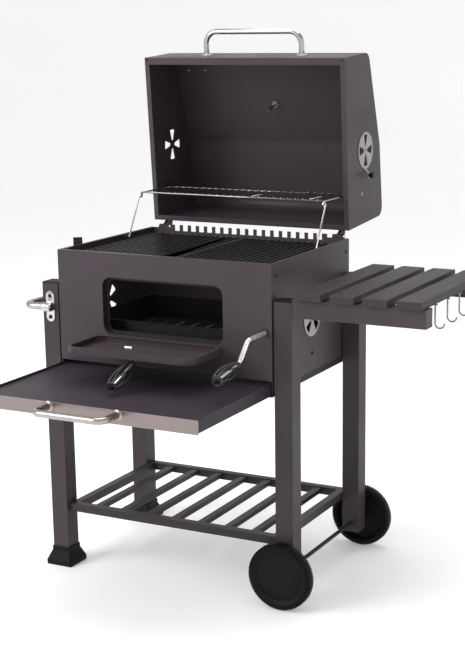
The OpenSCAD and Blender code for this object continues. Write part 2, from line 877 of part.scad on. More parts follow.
module warming_rack() {
  y0 = rack_front_y;
  y1 = rack_pivot_y;
  z = rack_pivot_z;
  color(chrome) placed() {
    for (y = [y0 + 6, y1 - 14]) pin_x(-rack_half, rack_half, y, z, wire_r);
    for (s = [-1, 1]) {
      bar([s * rack_half, y0, z], [s * rack_half, y1, z], wire_r);
      translate([s * rack_half, y1, z]) sphere(r = wire_r);
      bar([s * rack_half, y1, z], [s * (rack_leg_x + 9), y1, z], wire_r);
      bar([s * rack_half, y0 + 6, z], [s * rack_half, y0 + 6, rack_front_z + 3], wire_r);
      difference() {
        pin_x(s * rack_half - 1.2, s * rack_half + 1.2, y0, rack_front_z, 6);
        pin_x(s * rack_half - 2, s * rack_half + 2, y0, rack_front_z, wire_r + 1);
      }
      bar([s * rack_half, y0, rack_front_z + 4.5], [s * rack_half, y0, z], wire_r - 0.5);
    }
    for (i = [1:rack_wire_count])
      let (x = -rack_half + i * 2 * rack_half / (rack_wire_count + 1))
        bar([x, y0 + 5, z + 2.6], [x, y1 - 12, z + 2.6], 1.2);
  }
}

module rack_legs() {
  color(chrome) placed()
    for (s = [-1, 1])
      wire([[s * (rack_half - 4), rack_front_y, rack_front_z],
            [s * rack_leg_x, rack_front_y, rack_front_z],
            [s * rack_leg_x, foot_y, foot_z],
            [s * (rack_leg_x + 12), foot_y, foot_z]], wire_r);
}

// Small brackets on the side panels that carry the warming rack's legs
module rack_feet() {
  color(dark_grey) placed()
    for (s = [0, 1]) mirror([s, 0, 0])
      difference() {
        union() {
          along_x(rack_leg_x + 5, rack_leg_x + 7)
            translate([foot_y - 6, foot_z - 6]) square([12, body_top - sheet - foot_z + 6]);
          box([rack_leg_x + 7, foot_y - 6, foot_z - 6], [inner_w, foot_y + 6, foot_z - 4.5]);
        }
        pin_x(rack_leg_x, rack_leg_x + 15, foot_y, foot_z, wire_r + fit);
      }
}

// Lugs on the lid's end plates that carry the back of the warming rack
module rack_lugs() {
  color(dark_grey) placed()
    for (s = [0, 1]) mirror([s, 0, 0])
      difference() {
        union() {
          along_x(rack_leg_x, rack_leg_x + 2)
            union() {
              translate([rack_pivot_y, rack_pivot_z]) circle(r = 7);
              translate([rack_pivot_y, rack_pivot_z - 7]) square([14, 14]);
            }
          box([rack_leg_x + 2, rack_pivot_y + 12.5, rack_pivot_z - 7],
              [lid_half - lid_sheet, rack_pivot_y + 14, rack_pivot_z + 7]);
        }
        pin_x(rack_leg_x - 1, rack_leg_x + 3, rack_pivot_y, rack_pivot_z, wire_r + fit);
      }
}

// ---- fire door ----

module door_outline(inset) {
  translate([0, door_near_y - door_l / 2])
    round_rect(2 * door_half - 2 * inset, door_l - 2 * inset, door_open_r + 4 - inset);
}

module fire_door() {
  z0 = door_top_z - door_deep;
  color(anthracite) placed() difference() {
    union() {
      translate([0, 0, z0]) linear_extrude(door_deep) door_outline(0);
      for (s = [-1, 1])
        along_x(s * door_hinge_x - 6.5, s * door_hinge_x + 6.5)
          union() {
            translate([door_hinge_y, door_hinge_z]) circle(r = door_lug_r);
            translate([door_near_y - 0.5, door_hinge_z - door_lug_r])
              square([door_hinge_y - door_near_y + 0.5, 2 * door_lug_r]);
          }
    }
    translate([0, 0, z0 + door_sheet]) linear_extrude(door_deep - 2 * door_sheet) door_outline(door_sheet);
    translate([0, 0, z0 + door_sheet]) linear_extrude(door_deep) door_outline(7);
    for (s = [-1, 1])
      pin_x(s * door_hinge_x - 8, s * door_hinge_x + 8, door_hinge_y, door_hinge_z, door_pin_r + fit);
    pin_z(z0 - 1, z0 + 5, 0, stem_y, stem_r + hole_gap);
    for (s = [-1, 1], x = [-11, 11])
      pin_z(door_top_z - 3, door_top_z + 1, s * door_hinge_x + x, door_near_y - 4, 1.8);
  }
}

// Spring clip that snaps under the top edge of the opening
module door_latch() {
  y = door_near_y - door_l + 8;
  z0 = door_top_z - door_deep + door_sheet;
  color(steel) placed()
    along_x(-9.5, 9.5)
      polygon([[y + 12, z0], [y + 12, z0 + 1], [y + 1, z0 + 1], [y + 1, z0 + 20], [y - 0.6, z0 + 24],
               [y + 1, z0 + 28], [y, z0 + 28], [y - 1.6, z0 + 24], [y, z0 + 20], [y, z0]]);
}

grip_dir = [0, -cos(grip_tilt), -sin(grip_tilt)];
stem_foot = [0, stem_y, door_top_z - door_deep - stem_drop];

module door_stem() {
  z0 = door_top_z - door_deep;
  color(chrome) placed() {
    bar([0, stem_y, z0 + 3.5], stem_foot, stem_r);
    translate(stem_foot) sphere(r = stem_r + 0.4);
    bar(stem_foot, stem_foot + (grip_gap + grip_l + 3) * grip_dir, grip_rod_r);
    pin_z(z0 + door_sheet, z0 + door_sheet + 4, 0, stem_y, 8);
    pin_z(z0 - 2, z0, 0, stem_y, 7);
  }
}

// The black cap nut at the end of a grip's rod, drawn around the Z axis
module cap_nut() {
  difference() {
    cylinder(r = 5.5, h = 6);
    translate([0, 0, -1]) cylinder(r = grip_rod_r, h = 5.6);
  }
}

module door_grip() {
  color(black) placed()
    translate(stem_foot + grip_gap * grip_dir)
      rotate([90 + grip_tilt, 0, 0]) {
        cage_grip(grip_l, grip_rod_r + hole_gap);
        translate([0, 0, grip_l - 1.5]) cap_nut();
      }
}

// ---- charcoal lift ----

crank_end = [crank_x + crank_arm_dx, crank_front_y, crank_z + crank_arm_dz];
crank_grip_dir = [0, -cos(crank_grip_tilt), -sin(crank_grip_tilt)];

module crank_rod() {
  elbow = [crank_x, crank_front_y, crank_z];
  color(chrome) placed() {
    pin_y(crank_front_y, crank_rear_y, crank_x, crank_z, crank_r);
    bar(elbow, crank_end, crank_arm_r);
    for (p = [elbow, crank_end]) translate(p) sphere(r = crank_arm_r + 0.4);
    bar(crank_end, crank_end + (grip_gap + grip_l + 3) * crank_grip_dir, grip_rod_r);
    translate(crank_end + (grip_gap + grip_l + 0.6) * crank_grip_dir)
      rotate([90 + crank_grip_tilt, 0, 0]) cylinder(r = 5.5, h = 6);
  }
}

module crank_grip() {
  color(black) placed()
    translate(crank_end + grip_gap * crank_grip_dir)
      rotate([90 + crank_grip_tilt, 0, 0]) cage_grip(grip_l, grip_rod_r + free_gap);
}

// Involute pinion outline with a gap between two teeth at 180 degrees
function involute_angle(r, base_r) =
  let (t = sqrt(max(0, r * r / (base_r * base_r) - 1))) t * 180 / PI - atan(t);

module pinion_outline() {
  base_r = pitch_r * cos(pressure);
  root_r = pitch_r - 1.25 * gear_module;
  tip_r = pitch_r + gear_module;
  half_pitch = (PI * gear_module / 4 - tooth_gap) / pitch_r * 180 / PI;
  steps = 5;
  radii = concat([root_r], [for (i = [0:steps]) base_r + (tip_r - base_r) * i / steps]);
  function half_at(r) = half_pitch + involute_angle(pitch_r, base_r) - involute_angle(max(r, base_r), base_r);
  polygon([for (k = [0:pinion_teeth - 1])
    let (c = (k + 0.5) * 360 / pinion_teeth)
      each concat(
        [for (r = radii) r * [cos(c - half_at(r)), sin(c - half_at(r))]],
        [for (i = [len(radii) - 1:-1:0])
          radii[i] * [cos(c + half_at(radii[i])), sin(c + half_at(radii[i]))]])]);
}

module lift_pinions() {
  color(steel) placed()
    for (i = [0, 1])
      difference() {
        union() {
          translate([crank_x, 0, crank_z]) along_y(gear_y[i], gear_y[i] + gear_w) pinion_outline();
          pin_y(gear_y[i] + (i == 0 ? gear_w : -7), gear_y[i] + (i == 0 ? gear_w + 7 : 0),
                crank_x, crank_z, 8);
        }
        pin_y(gear_y[i] - 10, gear_y[i] + 20, crank_x, crank_z, crank_r);
      }
}

// One vertical rack; a tooth is centred on the crank shaft's height
module lift_rack(y) {
  p = PI * gear_module;
  pitch_x = crank_x - pitch_r;
  tip = gear_module;
  root = 1.25 * gear_module;
  below = floor((crank_z - cradle_z - 12) / p);
  above = floor((rack_top_z - crank_z - 3) / p);
  half = p / 4 - tooth_gap;
  along_y(y, y + gear_w)
    union() {
      translate([rack_back_x, cradle_z]) square([pitch_x - root - rack_back_x, rack_top_z - cradle_z]);
      for (k = [-below:above])
        translate([pitch_x, crank_z + k * p])
          polygon([[-root - 0.5, -half - root * tan(pressure)], [-root, -half - root * tan(pressure)],
                   [tip, -half + tip * tan(pressure)], [tip, half - tip * tan(pressure)],
                   [-root, half + root * tan(pressure)], [-root - 0.5, half + root * tan(pressure)]]);
    }
}

module lift_cradle() {
  z1 = cradle_z + cradle_h;
  x0 = -261;
  x1 = 246;
  color(steel) placed() {
    for (y = gear_y) {
      box([x0, y, cradle_z], [rack_back_x + 1, y + gear_w, z1]);
      lift_rack(y);
    }
    for (x = [x0, x1 - 12]) box([x, gear_y[0], cradle_z], [x + 12, gear_y[1] + gear_w, z1]);
    for (y = guide_left_y) guide_eye(guide_left_x, y, x0 + 1, z1);
    for (y = guide_right_y) guide_eye(guide_right_x, y, x1 - 1, z1);
  }
}

// An eye that slides on a guide rod, joined to the cradle's side bar at x = side
module guide_eye(x, y, side, z1) {
  difference() {
    union() {
      pin_z(cradle_z, z1, x, y, 8);
      box([min(x, side), y - 5, cradle_z], [max(x, side), y + 5, z1]);
    }
    pin_z(cradle_z - 1, z1 + 1, x, y, guide_r + free_gap);
  }
}

module charcoal_pan() {
  t = 1.5;
  slots = 11;
  pitch = (pan_x1 - pan_x0 - 60) / (slots - 1);
  color(black) placed() {
    difference() {
      box([pan_x0, pan_y0, pan_z], [pan_x1, pan_y1, pan_z + pan_h]);
      box([pan_x0 + t, pan_y0 + t, pan_z + t], [pan_x1 - t, pan_y1 - t, pan_z + pan_h + 1]);
      for (i = [0:slots - 1], y = [pan_y0 + 30, (pan_y0 + pan_y1) / 2 + 15])
        translate([pan_x0 + 30 + i * pitch - 4, y, pan_z - 1]) cube([8, 115, 5]);
    }
    difference() {
      box([pan_x0 - 4, pan_y0 - 4, pan_z + pan_h], [pan_x1 + 4, pan_y1 + 4, pan_z + pan_h + t]);
      box([pan_x0 + t, pan_y0 + t, pan_z + pan_h - 1], [pan_x1 - t, pan_y1 - t, pan_z + pan_h + 3]);
    }
  }
}

// ---- ash drawer ----

module ash_tray() {
  t = 1.5;
  y0 = drawer_y;
  y1 = drawer_y + drawer_l;
  color(dark_grey) placed() difference() {
    box([-drawer_half, y0, drawer_bottom], [drawer_half, y1, drawer_top]);
    box([-drawer_half + t, y0 + t, drawer_floor_z], [drawer_half - t, y1 - t, drawer_top + 1]);
    box([-drawer_half + t, y0 + t, drawer_bottom - 1], [drawer_half - t, y1 - t, drawer_floor_z - t]);
  }
}

module drawer_front() {
  color(steel) placed()
    box([-drawer_front_half, drawer_y - 1.5, drawer_top - drawer_h], [drawer_front_half, drawer_y, drawer_top]);
}

module drawer_handle() {
  y = drawer_y - 1.5;
  color(chrome) placed()
    translate([0, y, drawer_top - 10]) rotate([90, 0, 0]) {
      u_handle(drawer_foot_x, y - drawer_bar_y, 8, 20);
      for (s = [-1, 1]) translate([s * drawer_foot_x, 0, 0]) cylinder(r = 12, h = 2);
    }
}

// ---- lid, drawn closed and turned open about its hinge ----

// The lid's side outline, inset by t and reaching below the lid's bottom edge
module lid_outline(t, below = 0) {
  polygon(concat(
    [[lid_y0 + t, lid_z0 - below]],
    [for (i = [0:2], end = [1, 2])
      lid_arcs[i][0] + (lid_arcs[i][end] - lid_arcs[i][0]) * (1 - t / lid_radii[i])],
    [[lid_y1 - t, lid_z0 - below]]));
  for (i = [0:2]) translate(lid_arcs[i][0]) circle(r = lid_radii[i] - t);
}

thermo_y = 145;
thermo_z = lid_z0 + lid_front_h + tan(lid_slope) * (thermo_y - lid_y0);

module at_thermometer() { translate([0, thermo_y, thermo_z]) rotate([lid_slope, 0, 0]) children(); }

module lid_skin() {
  x = lid_half - lid_sheet;
  lip = lid_half - lid_flange;
  color(anthracite) on_lid() difference() {
    union() {
      along_x(-x, x)
        difference() {
          lid_outline(0);
          lid_outline(lid_sheet, 5);
        }
      box([-lip, lid_y0 + 0.5, lid_z0], [lip, lid_y0 + lid_front_lip, lid_z0 + lid_sheet]);
      box([-lip, lid_y1 - lid_flange, lid_z0], [lip, lid_y1 - 0.5, lid_z0 + lid_sheet]);
    }
    at_thermometer() translate([0, 0, -5]) cylinder(r = 6 + hole_gap, h = 10);
  }
}

// An end plate with its folded lip and its vent openings, drawn for the right-hand end
module lid_end() {
  difference() {
    union() {
      along_x(lid_half - lid_sheet, lid_half) lid_outline(0);
      box([lid_half - lid_flange, lid_y0 + lid_sheet, lid_z0],
          [lid_half - lid_sheet, lid_y1 - lid_sheet, lid_z0 + lid_sheet]);
    }
    translate([0, lid_vent_y, lid_vent_z]) {
      along_x(lid_half - 5, lid_half + 5) vent_openings(lid_vent_turn);
      pin_x(lid_half - 5, lid_half + 5, 0, 0, 4 + fit);
    }
  }
}

module lid_end_left() { color(anthracite) on_lid() mirror([1, 0, 0]) lid_end(); }

module lid_end_right() { color(anthracite) on_lid() lid_end(); }

module lid_handle() {
  color(chrome) on_lid()
    translate([0, lid_y0, lid_handle_z]) rotate([90, 0, 0]) {
      u_handle(lid_handle_x, lid_handle_out, lid_handle_r, 32);
      for (s = [-1, 1]) translate([s * lid_handle_x, 0, 0]) cylinder(r = 16, h = 2);
    }
}

// The lid's hinge leaves, joggled from the lid's back down to the pin
module lid_hinge_leaves() {
  half = hinge_knuckle / 2 - 0.3;
  color(dark_grey) on_lid()
    for (s = [-1, 1]) difference() {
      union() {
        box([s * hinge_x - 15, lid_y1, hinge_z + 20], [s * hinge_x + 15, lid_y1 + 2, hinge_z + 52]);
        along_x(s * hinge_x - half, s * hinge_x + half)
          union() {
            translate([hinge_y, hinge_z]) circle(r = hinge_barrel_r);
            polygon([[lid_y1, hinge_z + 24], [lid_y1, hinge_z + 20], [hinge_y - hinge_barrel_r, hinge_z],
                     [hinge_y + hinge_barrel_r, hinge_z], [hinge_y + 2, hinge_z + 12]]);
          }
      }
      pin_x(s * hinge_x - 20, s * hinge_x + 20, hinge_y, hinge_z, hinge_pin_r + fit);
    }
}

// The fire box's hinge leaves, each with an arm that the open lid rests on
module body_hinge_leaves() {
  half = hinge_knuckle / 2;
  stop_y = hinge_y + 34;
  color(dark_grey) placed()
    for (s = [-1, 1]) difference() {
      union() {
        box([s * hinge_x - 15, body_d, hinge_z - 45], [s * hinge_x + 15, body_d + 2, hinge_z - 6]);
        for (x = [-15, half])
          along_x(s * hinge_x + x, s * hinge_x + x + 15 - half)
            union() {
              translate([hinge_y, hinge_z]) circle(r = hinge_barrel_r);
              polygon([[body_d, hinge_z - 20], [body_d, hinge_z - 6], [hinge_y - hinge_barrel_r, hinge_z],
                       [hinge_y + hinge_barrel_r, hinge_z]]);
            }
        along_x(s * hinge_x - 1.5, s * hinge_x + 1.5)
          polygon([[body_d, hinge_z - 45], [body_d, hinge_z - 30], [hinge_y + 12, hinge_z - 12],
                   [stop_y, hinge_z + 16], [stop_y + 6, hinge_z + 16], [stop_y + 6, hinge_z + 3]]);
      }
      pin_x(s * hinge_x - 20, s * hinge_x + 20, hinge_y, hinge_z, hinge_pin_r + hole_gap);
    }
}

module hinge_pins() {
  color(chrome) placed()
    for (s = [-1, 1]) {
      pin_x(s * hinge_x - 17, s * hinge_x + 15, hinge_y, hinge_z, hinge_pin_r);
      pin_x(s * hinge_x + 15, s * hinge_x + 17.5, hinge_y, hinge_z, 5);
    }
}

module thermometer() {
  color(steel) on_lid() at_thermometer() {
    difference() {
      union() {
        cylinder(r = 30, h = 9);
        translate([0, 0, -8]) cylinder(r = 6, h = 9);
        translate([0, 0, -48]) cylinder(r = 3, h = 42);
      }
      translate([0, 0, 3.5]) cylinder(r = 27, h = 6);
      translate([0, 0, 1]) cylinder(r = 1 + fit, h = 3);
    }
    difference() {
      translate([0, 0, -lid_sheet - 4]) cylinder(r = 11, h = 4, $fn = 6);
      translate([0, 0, -10]) cylinder(r = 6, h = 12);
    }
  }
}

module thermometer_needle() {
  color("firebrick") on_lid() at_thermometer() {
    translate([0, 0, 1.6]) cylinder(r = 1, h = 4);
    translate([0, 0, 4.2]) cylinder(r = 3, h = 1);
    rotate(135) translate([-0.9, -6, 4.4]) cube([1.8, 27, 0.6]);
  }
}

module lid_vent(side) {
  on_lid() mirror([side < 0 ? 1 : 0, 0, 0])
    translate([lid_half, lid_vent_y, lid_vent_z]) vent_disc(lid_vent_turn, lid_sheet);
}

module lid_vent_left() { color(steel) lid_vent(-1); }

module lid_vent_right() { color(steel) lid_vent(1); }

module body_vent(side) {
  placed() mirror([side < 0 ? 1 : 0, 0, 0])
    translate([half_w, body_vent_y, body_vent_z]) vent_disc(body_vent_turn, sheet);
}

module body_vent_left() { color(steel) body_vent(-1); }

module body_vent_right() { color(steel) body_vent(1); }

// ---- nodes ----

front_panel();
left_panel();
right_panel();
rear_panel();
door_collar();
door_hinge_brackets();
grate_ledges();
drawer_runners();
lift_guides();
crank_bushes();
panel_screws();
left_legs();
right_legs();
leg_caps();
feet();
frame_bolts();
leg_spacers();
shelf_frame();
shelf_slats();
table_rails();
table_slats();
table_hooks();
push_handle();
handle_brackets();
axle();
axle_nuts();
body_hinge_leaves();
hinge_pins();
rack_feet();
cooking_grate_left();
cooking_grate_right();
wheel_front();
wheel_rear();
fire_door();
door_latch();
door_stem();
door_grip();
crank_rod();
lift_pinions();
crank_grip();
lift_cradle();
charcoal_pan();
ash_tray();
drawer_front();
drawer_handle();
lid_skin();
lid_end_left();
lid_end_right();
lid_handle();
lid_hinge_leaves();
thermometer();
rack_lugs();
thermometer_needle();
lid_vent_left();
lid_vent_right();
body_vent_left();
body_vent_right();
warming_rack();
rack_legs();
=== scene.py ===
"""Looks for a charcoal grill cart: materials, detailed pieces, floor, lights and camera.

Lengths in the tables below are millimetres in the cart's own frame, whose zero is the fire
box's front, in the middle, on the floor. at() turns such a point into the shared frame.
"""

import math

import bmesh
import bpy
from mathutils import Matrix, Vector


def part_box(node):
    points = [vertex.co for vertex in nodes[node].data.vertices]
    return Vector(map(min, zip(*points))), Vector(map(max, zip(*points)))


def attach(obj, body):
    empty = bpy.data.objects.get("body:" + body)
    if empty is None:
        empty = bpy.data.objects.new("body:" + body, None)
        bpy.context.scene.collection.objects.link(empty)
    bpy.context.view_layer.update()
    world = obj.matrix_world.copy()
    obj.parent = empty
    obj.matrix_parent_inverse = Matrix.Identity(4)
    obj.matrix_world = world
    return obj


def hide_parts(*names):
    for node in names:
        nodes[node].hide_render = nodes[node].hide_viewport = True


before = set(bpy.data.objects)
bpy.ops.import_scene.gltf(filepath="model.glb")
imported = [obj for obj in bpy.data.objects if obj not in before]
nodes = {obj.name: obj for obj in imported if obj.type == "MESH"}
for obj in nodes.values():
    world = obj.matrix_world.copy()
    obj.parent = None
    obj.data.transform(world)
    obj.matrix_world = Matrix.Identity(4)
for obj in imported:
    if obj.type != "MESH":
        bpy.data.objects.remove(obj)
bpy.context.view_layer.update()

panel_lo, panel_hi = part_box("front_panel")
ORIGIN = Vector(((panel_lo.x + panel_hi.x) / 2, panel_lo.y, 0))


def at(x, y, z):
    """A point of the cart's own frame, in millimetres, as a point of the shared frame."""
    return Vector((x, y, z)) / 1000 + ORIGIN


# ---- materials ----


class Material:
    """A principled material and a short way to add and join its nodes."""

    def __init__(self, name, colour, roughness, metallic=0.0):
        self.material = bpy.data.materials.new(name)
        self.material.use_nodes = True
        self.material.diffuse_color = (*colour, 1)
        self.tree = self.material.node_tree
        self.shader = self.tree.nodes["Principled BSDF"]
        self.set("Base Color", (*colour, 1))
        self.set("Roughness", roughness)
        self.set("Metallic", metallic)
        coordinates = self.tree.nodes.new("ShaderNodeTexCoord")
        self.place = coordinates.outputs["Object"]

    def set(self, socket, value):
        """Sets a constant on the shader's own socket."""
        self.shader.inputs[socket].default_value = value

    def link(self, source, node, socket):
        """Joins an output to a node's input, by its name or number."""
        self.tree.links.new(source, node.inputs[socket])

    def noise(self, scale, detail=4.0, stretch=None, roughness=0.5):
        """Noise over the piece; stretch scales each axis of the place that it is looked up at."""
        node = self.tree.nodes.new("ShaderNodeTexNoise")
        node.inputs["Scale"].default_value = scale
        node.inputs["Detail"].default_value = detail
        node.inputs["Roughness"].default_value = roughness
        source = self.place
        if stretch:
            mapping = self.tree.nodes.new("ShaderNodeMapping")
            mapping.inputs["Scale"].default_value = stretch
            self.link(self.place, mapping, "Vector")
            source = mapping.outputs["Vector"]
        self.link(source, node, "Vector")
        return node.outputs["Fac"]

    def ramp(self, source, stops):
        """Turns a grey value into a colour; stops are (position, colour) pairs."""
        node = self.tree.nodes.new("ShaderNodeValToRGB")
        ramp = node.color_ramp
        while len(ramp.elements) < len(stops):
            ramp.elements.new(0.5)
        for element, (position, colour) in zip(ramp.elements, stops):
            element.position = position
            element.color = (*colour, 1)
        self.link(source, node, "Fac")
        return node.outputs["Color"]

    def spread(self, source, low, high):
        """Maps a noise value onto the range from low to high."""
        node = self.tree.nodes.new("ShaderNodeMapRange")
        node.inputs["From Min"].default_value = 0.3
        node.inputs["From Max"].default_value = 0.7
        node.inputs["To Min"].default_value = low
        node.inputs["To Max"].default_value = high
        self.link(source, node, "Value")
        return node.outputs["Result"]

    def mix(self, amount, first, second):
        """Mixes two colours; amount is a socket."""
        node = self.tree.nodes.new("ShaderNodeMix")
        node.data_type = "RGBA"
        self.link(amount, node, 0)
        for index, value in ((6, first), (7, second)):
            if isinstance(value, tuple):
                node.inputs[index].default_value = (*value, 1)
            else:
                self.link(value, node, index)
        return node.outputs[2]

    def edges(self, radius, low, high):
        """1 on the piece's edges and 0 on its flat parts."""
        bevel = self.tree.nodes.new("ShaderNodeBevel")
        bevel.samples = 4
        bevel.inputs["Radius"].default_value = radius
        geometry = self.tree.nodes.new("ShaderNodeNewGeometry")
        dot = self.tree.nodes.new("ShaderNodeVectorMath")
        dot.operation = "DOT_PRODUCT"
        self.link(bevel.outputs["Normal"], dot, 0)
        self.link(geometry.outputs["Normal"], dot, 1)
        node = self.tree.nodes.new("ShaderNodeMapRange")
        node.inputs["From Min"].default_value = high
        node.inputs["From Max"].default_value = low
        self.link(dot.outputs["Value"], node, "Value")
        return node.outputs["Result"]

    def bump(self, source, depth, strength=1.0):
        """Raises the surface by up to depth metres where the source is 1."""
        node = self.tree.nodes.new("ShaderNodeBump")
        node.inputs["Distance"].default_value = depth
        node.inputs["Strength"].default_value = strength
        self.link(source, node, "Height")
        if self.shader.inputs["Normal"].is_linked:
            self.link(self.shader.inputs["Normal"].links[0].from_socket, node, "Normal")
        self.link(node.outputs["Normal"], self.shader, "Normal")

    def paint(self, socket, source):
        """Drives one of the shader's sockets."""
        self.link(source, self.shader, socket)


def scaled(colour, factor):
    """A colour made lighter or darker."""
    return tuple(min(1.0, c * factor) for c in colour)


def powder_coat(name, colour, roughness=0.42, shine=0.2):
    """Satin powder coat: a fine orange peel, faint cloudy tone and slightly lighter edges."""
    m = Material(name, colour, roughness)
    clouds = m.noise(5, detail=3)
    tone = m.ramp(clouds, [(0.3, scaled(colour, 0.93)), (0.7, scaled(colour, 1.07))])
    m.paint("Base Color", m.mix(m.edges(0.0012, 0.8, 0.98), tone, scaled(colour, 1.35)))
    m.paint("Roughness", m.spread(m.noise(9, detail=5), roughness - 0.05, roughness + 0.07))
    m.bump(m.noise(900, detail=2), 0.00006, 0.6)
    m.set("Specular IOR Level", shine)
    return m.material


def brushed(name, colour, roughness, stretch, grain=0.06):
    """Metal brushed along one axis: stretch is small on that axis and large across it."""
    m = Material(name, colour, roughness, metallic=1.0)
    lines = m.noise(1, detail=6, stretch=stretch, roughness=0.7)
    tone = m.ramp(lines, [(0.25, scaled(colour, 0.82)), (0.75, scaled(colour, 1.12))])
    m.paint("Base Color", tone)
    m.paint("Roughness", m.spread(lines, roughness - grain, roughness + grain))
    m.bump(lines, 0.00005, 0.5)
    m.set("Anisotropic", 0.5)
    return m.material


def plated(name, colour, roughness, metallic=1.0):
    """Bright plated metal with faint smears and fine waviness; a metallic below 1 adds a lit diffuse
    part, which is a painted sheen.
    """
    m = Material(name, colour, roughness, metallic)
    smears = m.noise(38, detail=5, roughness=0.6)
    tone = m.ramp(smears, [(0.3, scaled(colour, 0.94)), (0.7, scaled(colour, 1.04))])
    m.paint("Base Color", tone)
    m.paint("Roughness", m.spread(smears, roughness * 0.7, roughness * 1.5))
    m.bump(m.noise(160, detail=3), 0.00003, 0.4)
    return m.material


def moulded(name, colour, roughness, shine=0.12):
    """Moulded plastic: a fine spark-eroded texture, scuffed lighter along its edges."""
    m = Material(name, colour, roughness)
    tone = m.ramp(m.noise(14, detail=4), [(0.3, scaled(colour, 0.85)), (0.7, scaled(colour, 1.2))])
    m.paint("Base Color", m.mix(m.edges(0.0015, 0.75, 0.98), tone, scaled(colour, 1.9)))
    m.paint("Roughness", m.spread(m.noise(22, detail=5), roughness - 0.08, roughness + 0.08))
    m.bump(m.noise(1100, detail=2), 0.00012, 0.5)
    m.set("Specular IOR Level", shine)
    return m.material


def stained_wood(name, colour, roughness):
    """Dark stained slats with the grain along Y."""
    m = Material(name, colour, roughness)
    grain = m.noise(1, detail=7, stretch=(260, 9, 260), roughness=0.62)
    pores = m.noise(1, detail=3, stretch=(1300, 40, 1300), roughness=0.5)
    dark, light = scaled(colour, 0.72), scaled(colour, 1.35)
    tone = m.ramp(grain, [(0.25, dark), (0.5, colour), (0.78, light)])
    m.paint("Base Color", m.mix(m.edges(0.0014, 0.8, 0.98), tone, scaled(colour, 1.6)))
    m.paint("Roughness", m.spread(grain, roughness - 0.08, roughness + 0.1))
    m.bump(grain, 0.0003, 0.5)
    m.bump(pores, 0.00012, 0.5)
    m.set("Specular IOR Level", 0.2)
    return m.material


def cast_enamel(name, colour, roughness):
    """Enamelled cast iron: a slightly lumpy, glossy black."""
    m = Material(name, colour, roughness)
    lumps = m.noise(30, detail=4)
    tone = m.ramp(lumps, [(0.3, scaled(colour, 0.7)), (0.7, scaled(colour, 1.4))])
    m.paint("Base Color", tone)
    m.paint("Roughness", m.spread(m.noise(60, detail=4), roughness - 0.1, roughness + 0.15))
    m.bump(m.noise(240, detail=4), 0.0003, 0.6)
    return m.material


ANTHRACITE = (0.053, 0.042, 0.050)

anthracite = powder_coat("anthracite_coat", ANTHRACITE)
# The legs get a copy of the anthracite coat that is a little darker than the fire box's.
darker_legs = powder_coat("darker_legs", (0.044, 0.035, 0.040))
# The shelf's frame and slats get a darker copy of the anthracite coat: the extra darkness is painted
# shade.
shelf_painted_shade = powder_coat("shelf_painted_shade", (0.033, 0.027, 0.031))
dark_coat = powder_coat("dark_coat", (0.024, 0.021, 0.024), 0.5)
tray_coat = powder_coat("tray_coat", (0.033, 0.026, 0.034), 0.5)
black_coat = powder_coat("black_coat", (0.012, 0.011, 0.012), 0.45)
wire_coat = powder_coat("wire_coat", (0.030, 0.028, 0.031), 0.32, 0.5)
stainless = brushed("stainless", (0.25, 0.21, 0.205), 0.34, (6, 900, 1400))
satin_steel = brushed("satin_steel", (0.36, 0.345, 0.345), 0.36, (500, 500, 500), 0.05)
chrome = plated("chrome", (0.50, 0.48, 0.49), 0.12)
satin_chrome = plated("satin_chrome", (0.40, 0.355, 0.345), 0.22)
# The crank rod and the door stem: plating made partly diffuse and lighter, a painted sheen in place
# of the bright reflection.
rod_plating_painted_sheen = plated("rod_plating_painted_sheen", (0.80, 0.78, 0.79), 0.24, 0.7)
hook_plating = plated("hook_plating", (0.30, 0.28, 0.28), 0.2)
zinc = plated("zinc", (0.42, 0.41, 0.41), 0.28)
black_plastic = moulded("black_plastic", (0.0055, 0.005, 0.0055), 0.5)
slat_wood = stained_wood("slat_wood", (0.040, 0.033, 0.036), 0.5)
enamel = cast_enamel("enamel", (0.018, 0.017, 0.018), 0.36)
needle_red = moulded("needle_red", (0.35, 0.02, 0.015), 0.4)
dial_white = moulded("dial_white", (0.55, 0.54, 0.51), 0.45, 0.4)

DRESS = {
    anthracite: [
        "front_panel", "left_panel", "right_panel", "rear_panel", "table_rails", "fire_door",
        "lid_skin", "lid_end_left", "lid_end_right",
    ],
    darker_legs: ["left_legs", "right_legs"],
    # painted shade: the shelf's darker copy of the anthracite coat
    shelf_painted_shade: ["shelf_frame", "shelf_slats"],
    dark_coat: [
        "door_collar", "door_hinge_brackets", "grate_ledges", "drawer_runners", "lift_guides",
        "body_hinge_leaves", "lid_hinge_leaves", "rack_feet", "rack_lugs", "frame_bolts",
        "crank_bushes",
    ],
    tray_coat: ["ash_tray"],
    black_coat: ["charcoal_pan", "axle", "panel_screws"],
    wire_coat: ["door_grip", "crank_grip"],
    stainless: ["drawer_front"],
    satin_steel: [
        "lift_cradle", "lift_pinions", "handle_brackets", "thermometer",
        "lid_vent_left", "lid_vent_right", "body_vent_left", "body_vent_right", "door_latch",
    ],
    zinc: ["axle_nuts"],
    chrome: [
        "table_hooks", "push_handle", "hinge_pins", "door_stem", "crank_rod", "drawer_handle",
        "lid_handle", "warming_rack", "rack_legs",
    ],
    slat_wood: ["table_slats"],
    black_plastic: ["leg_caps", "feet", "leg_spacers", "wheel_front", "wheel_rear"],
    enamel: ["cooking_grate_left", "cooking_grate_right"],
    needle_red: ["thermometer_needle"],
}

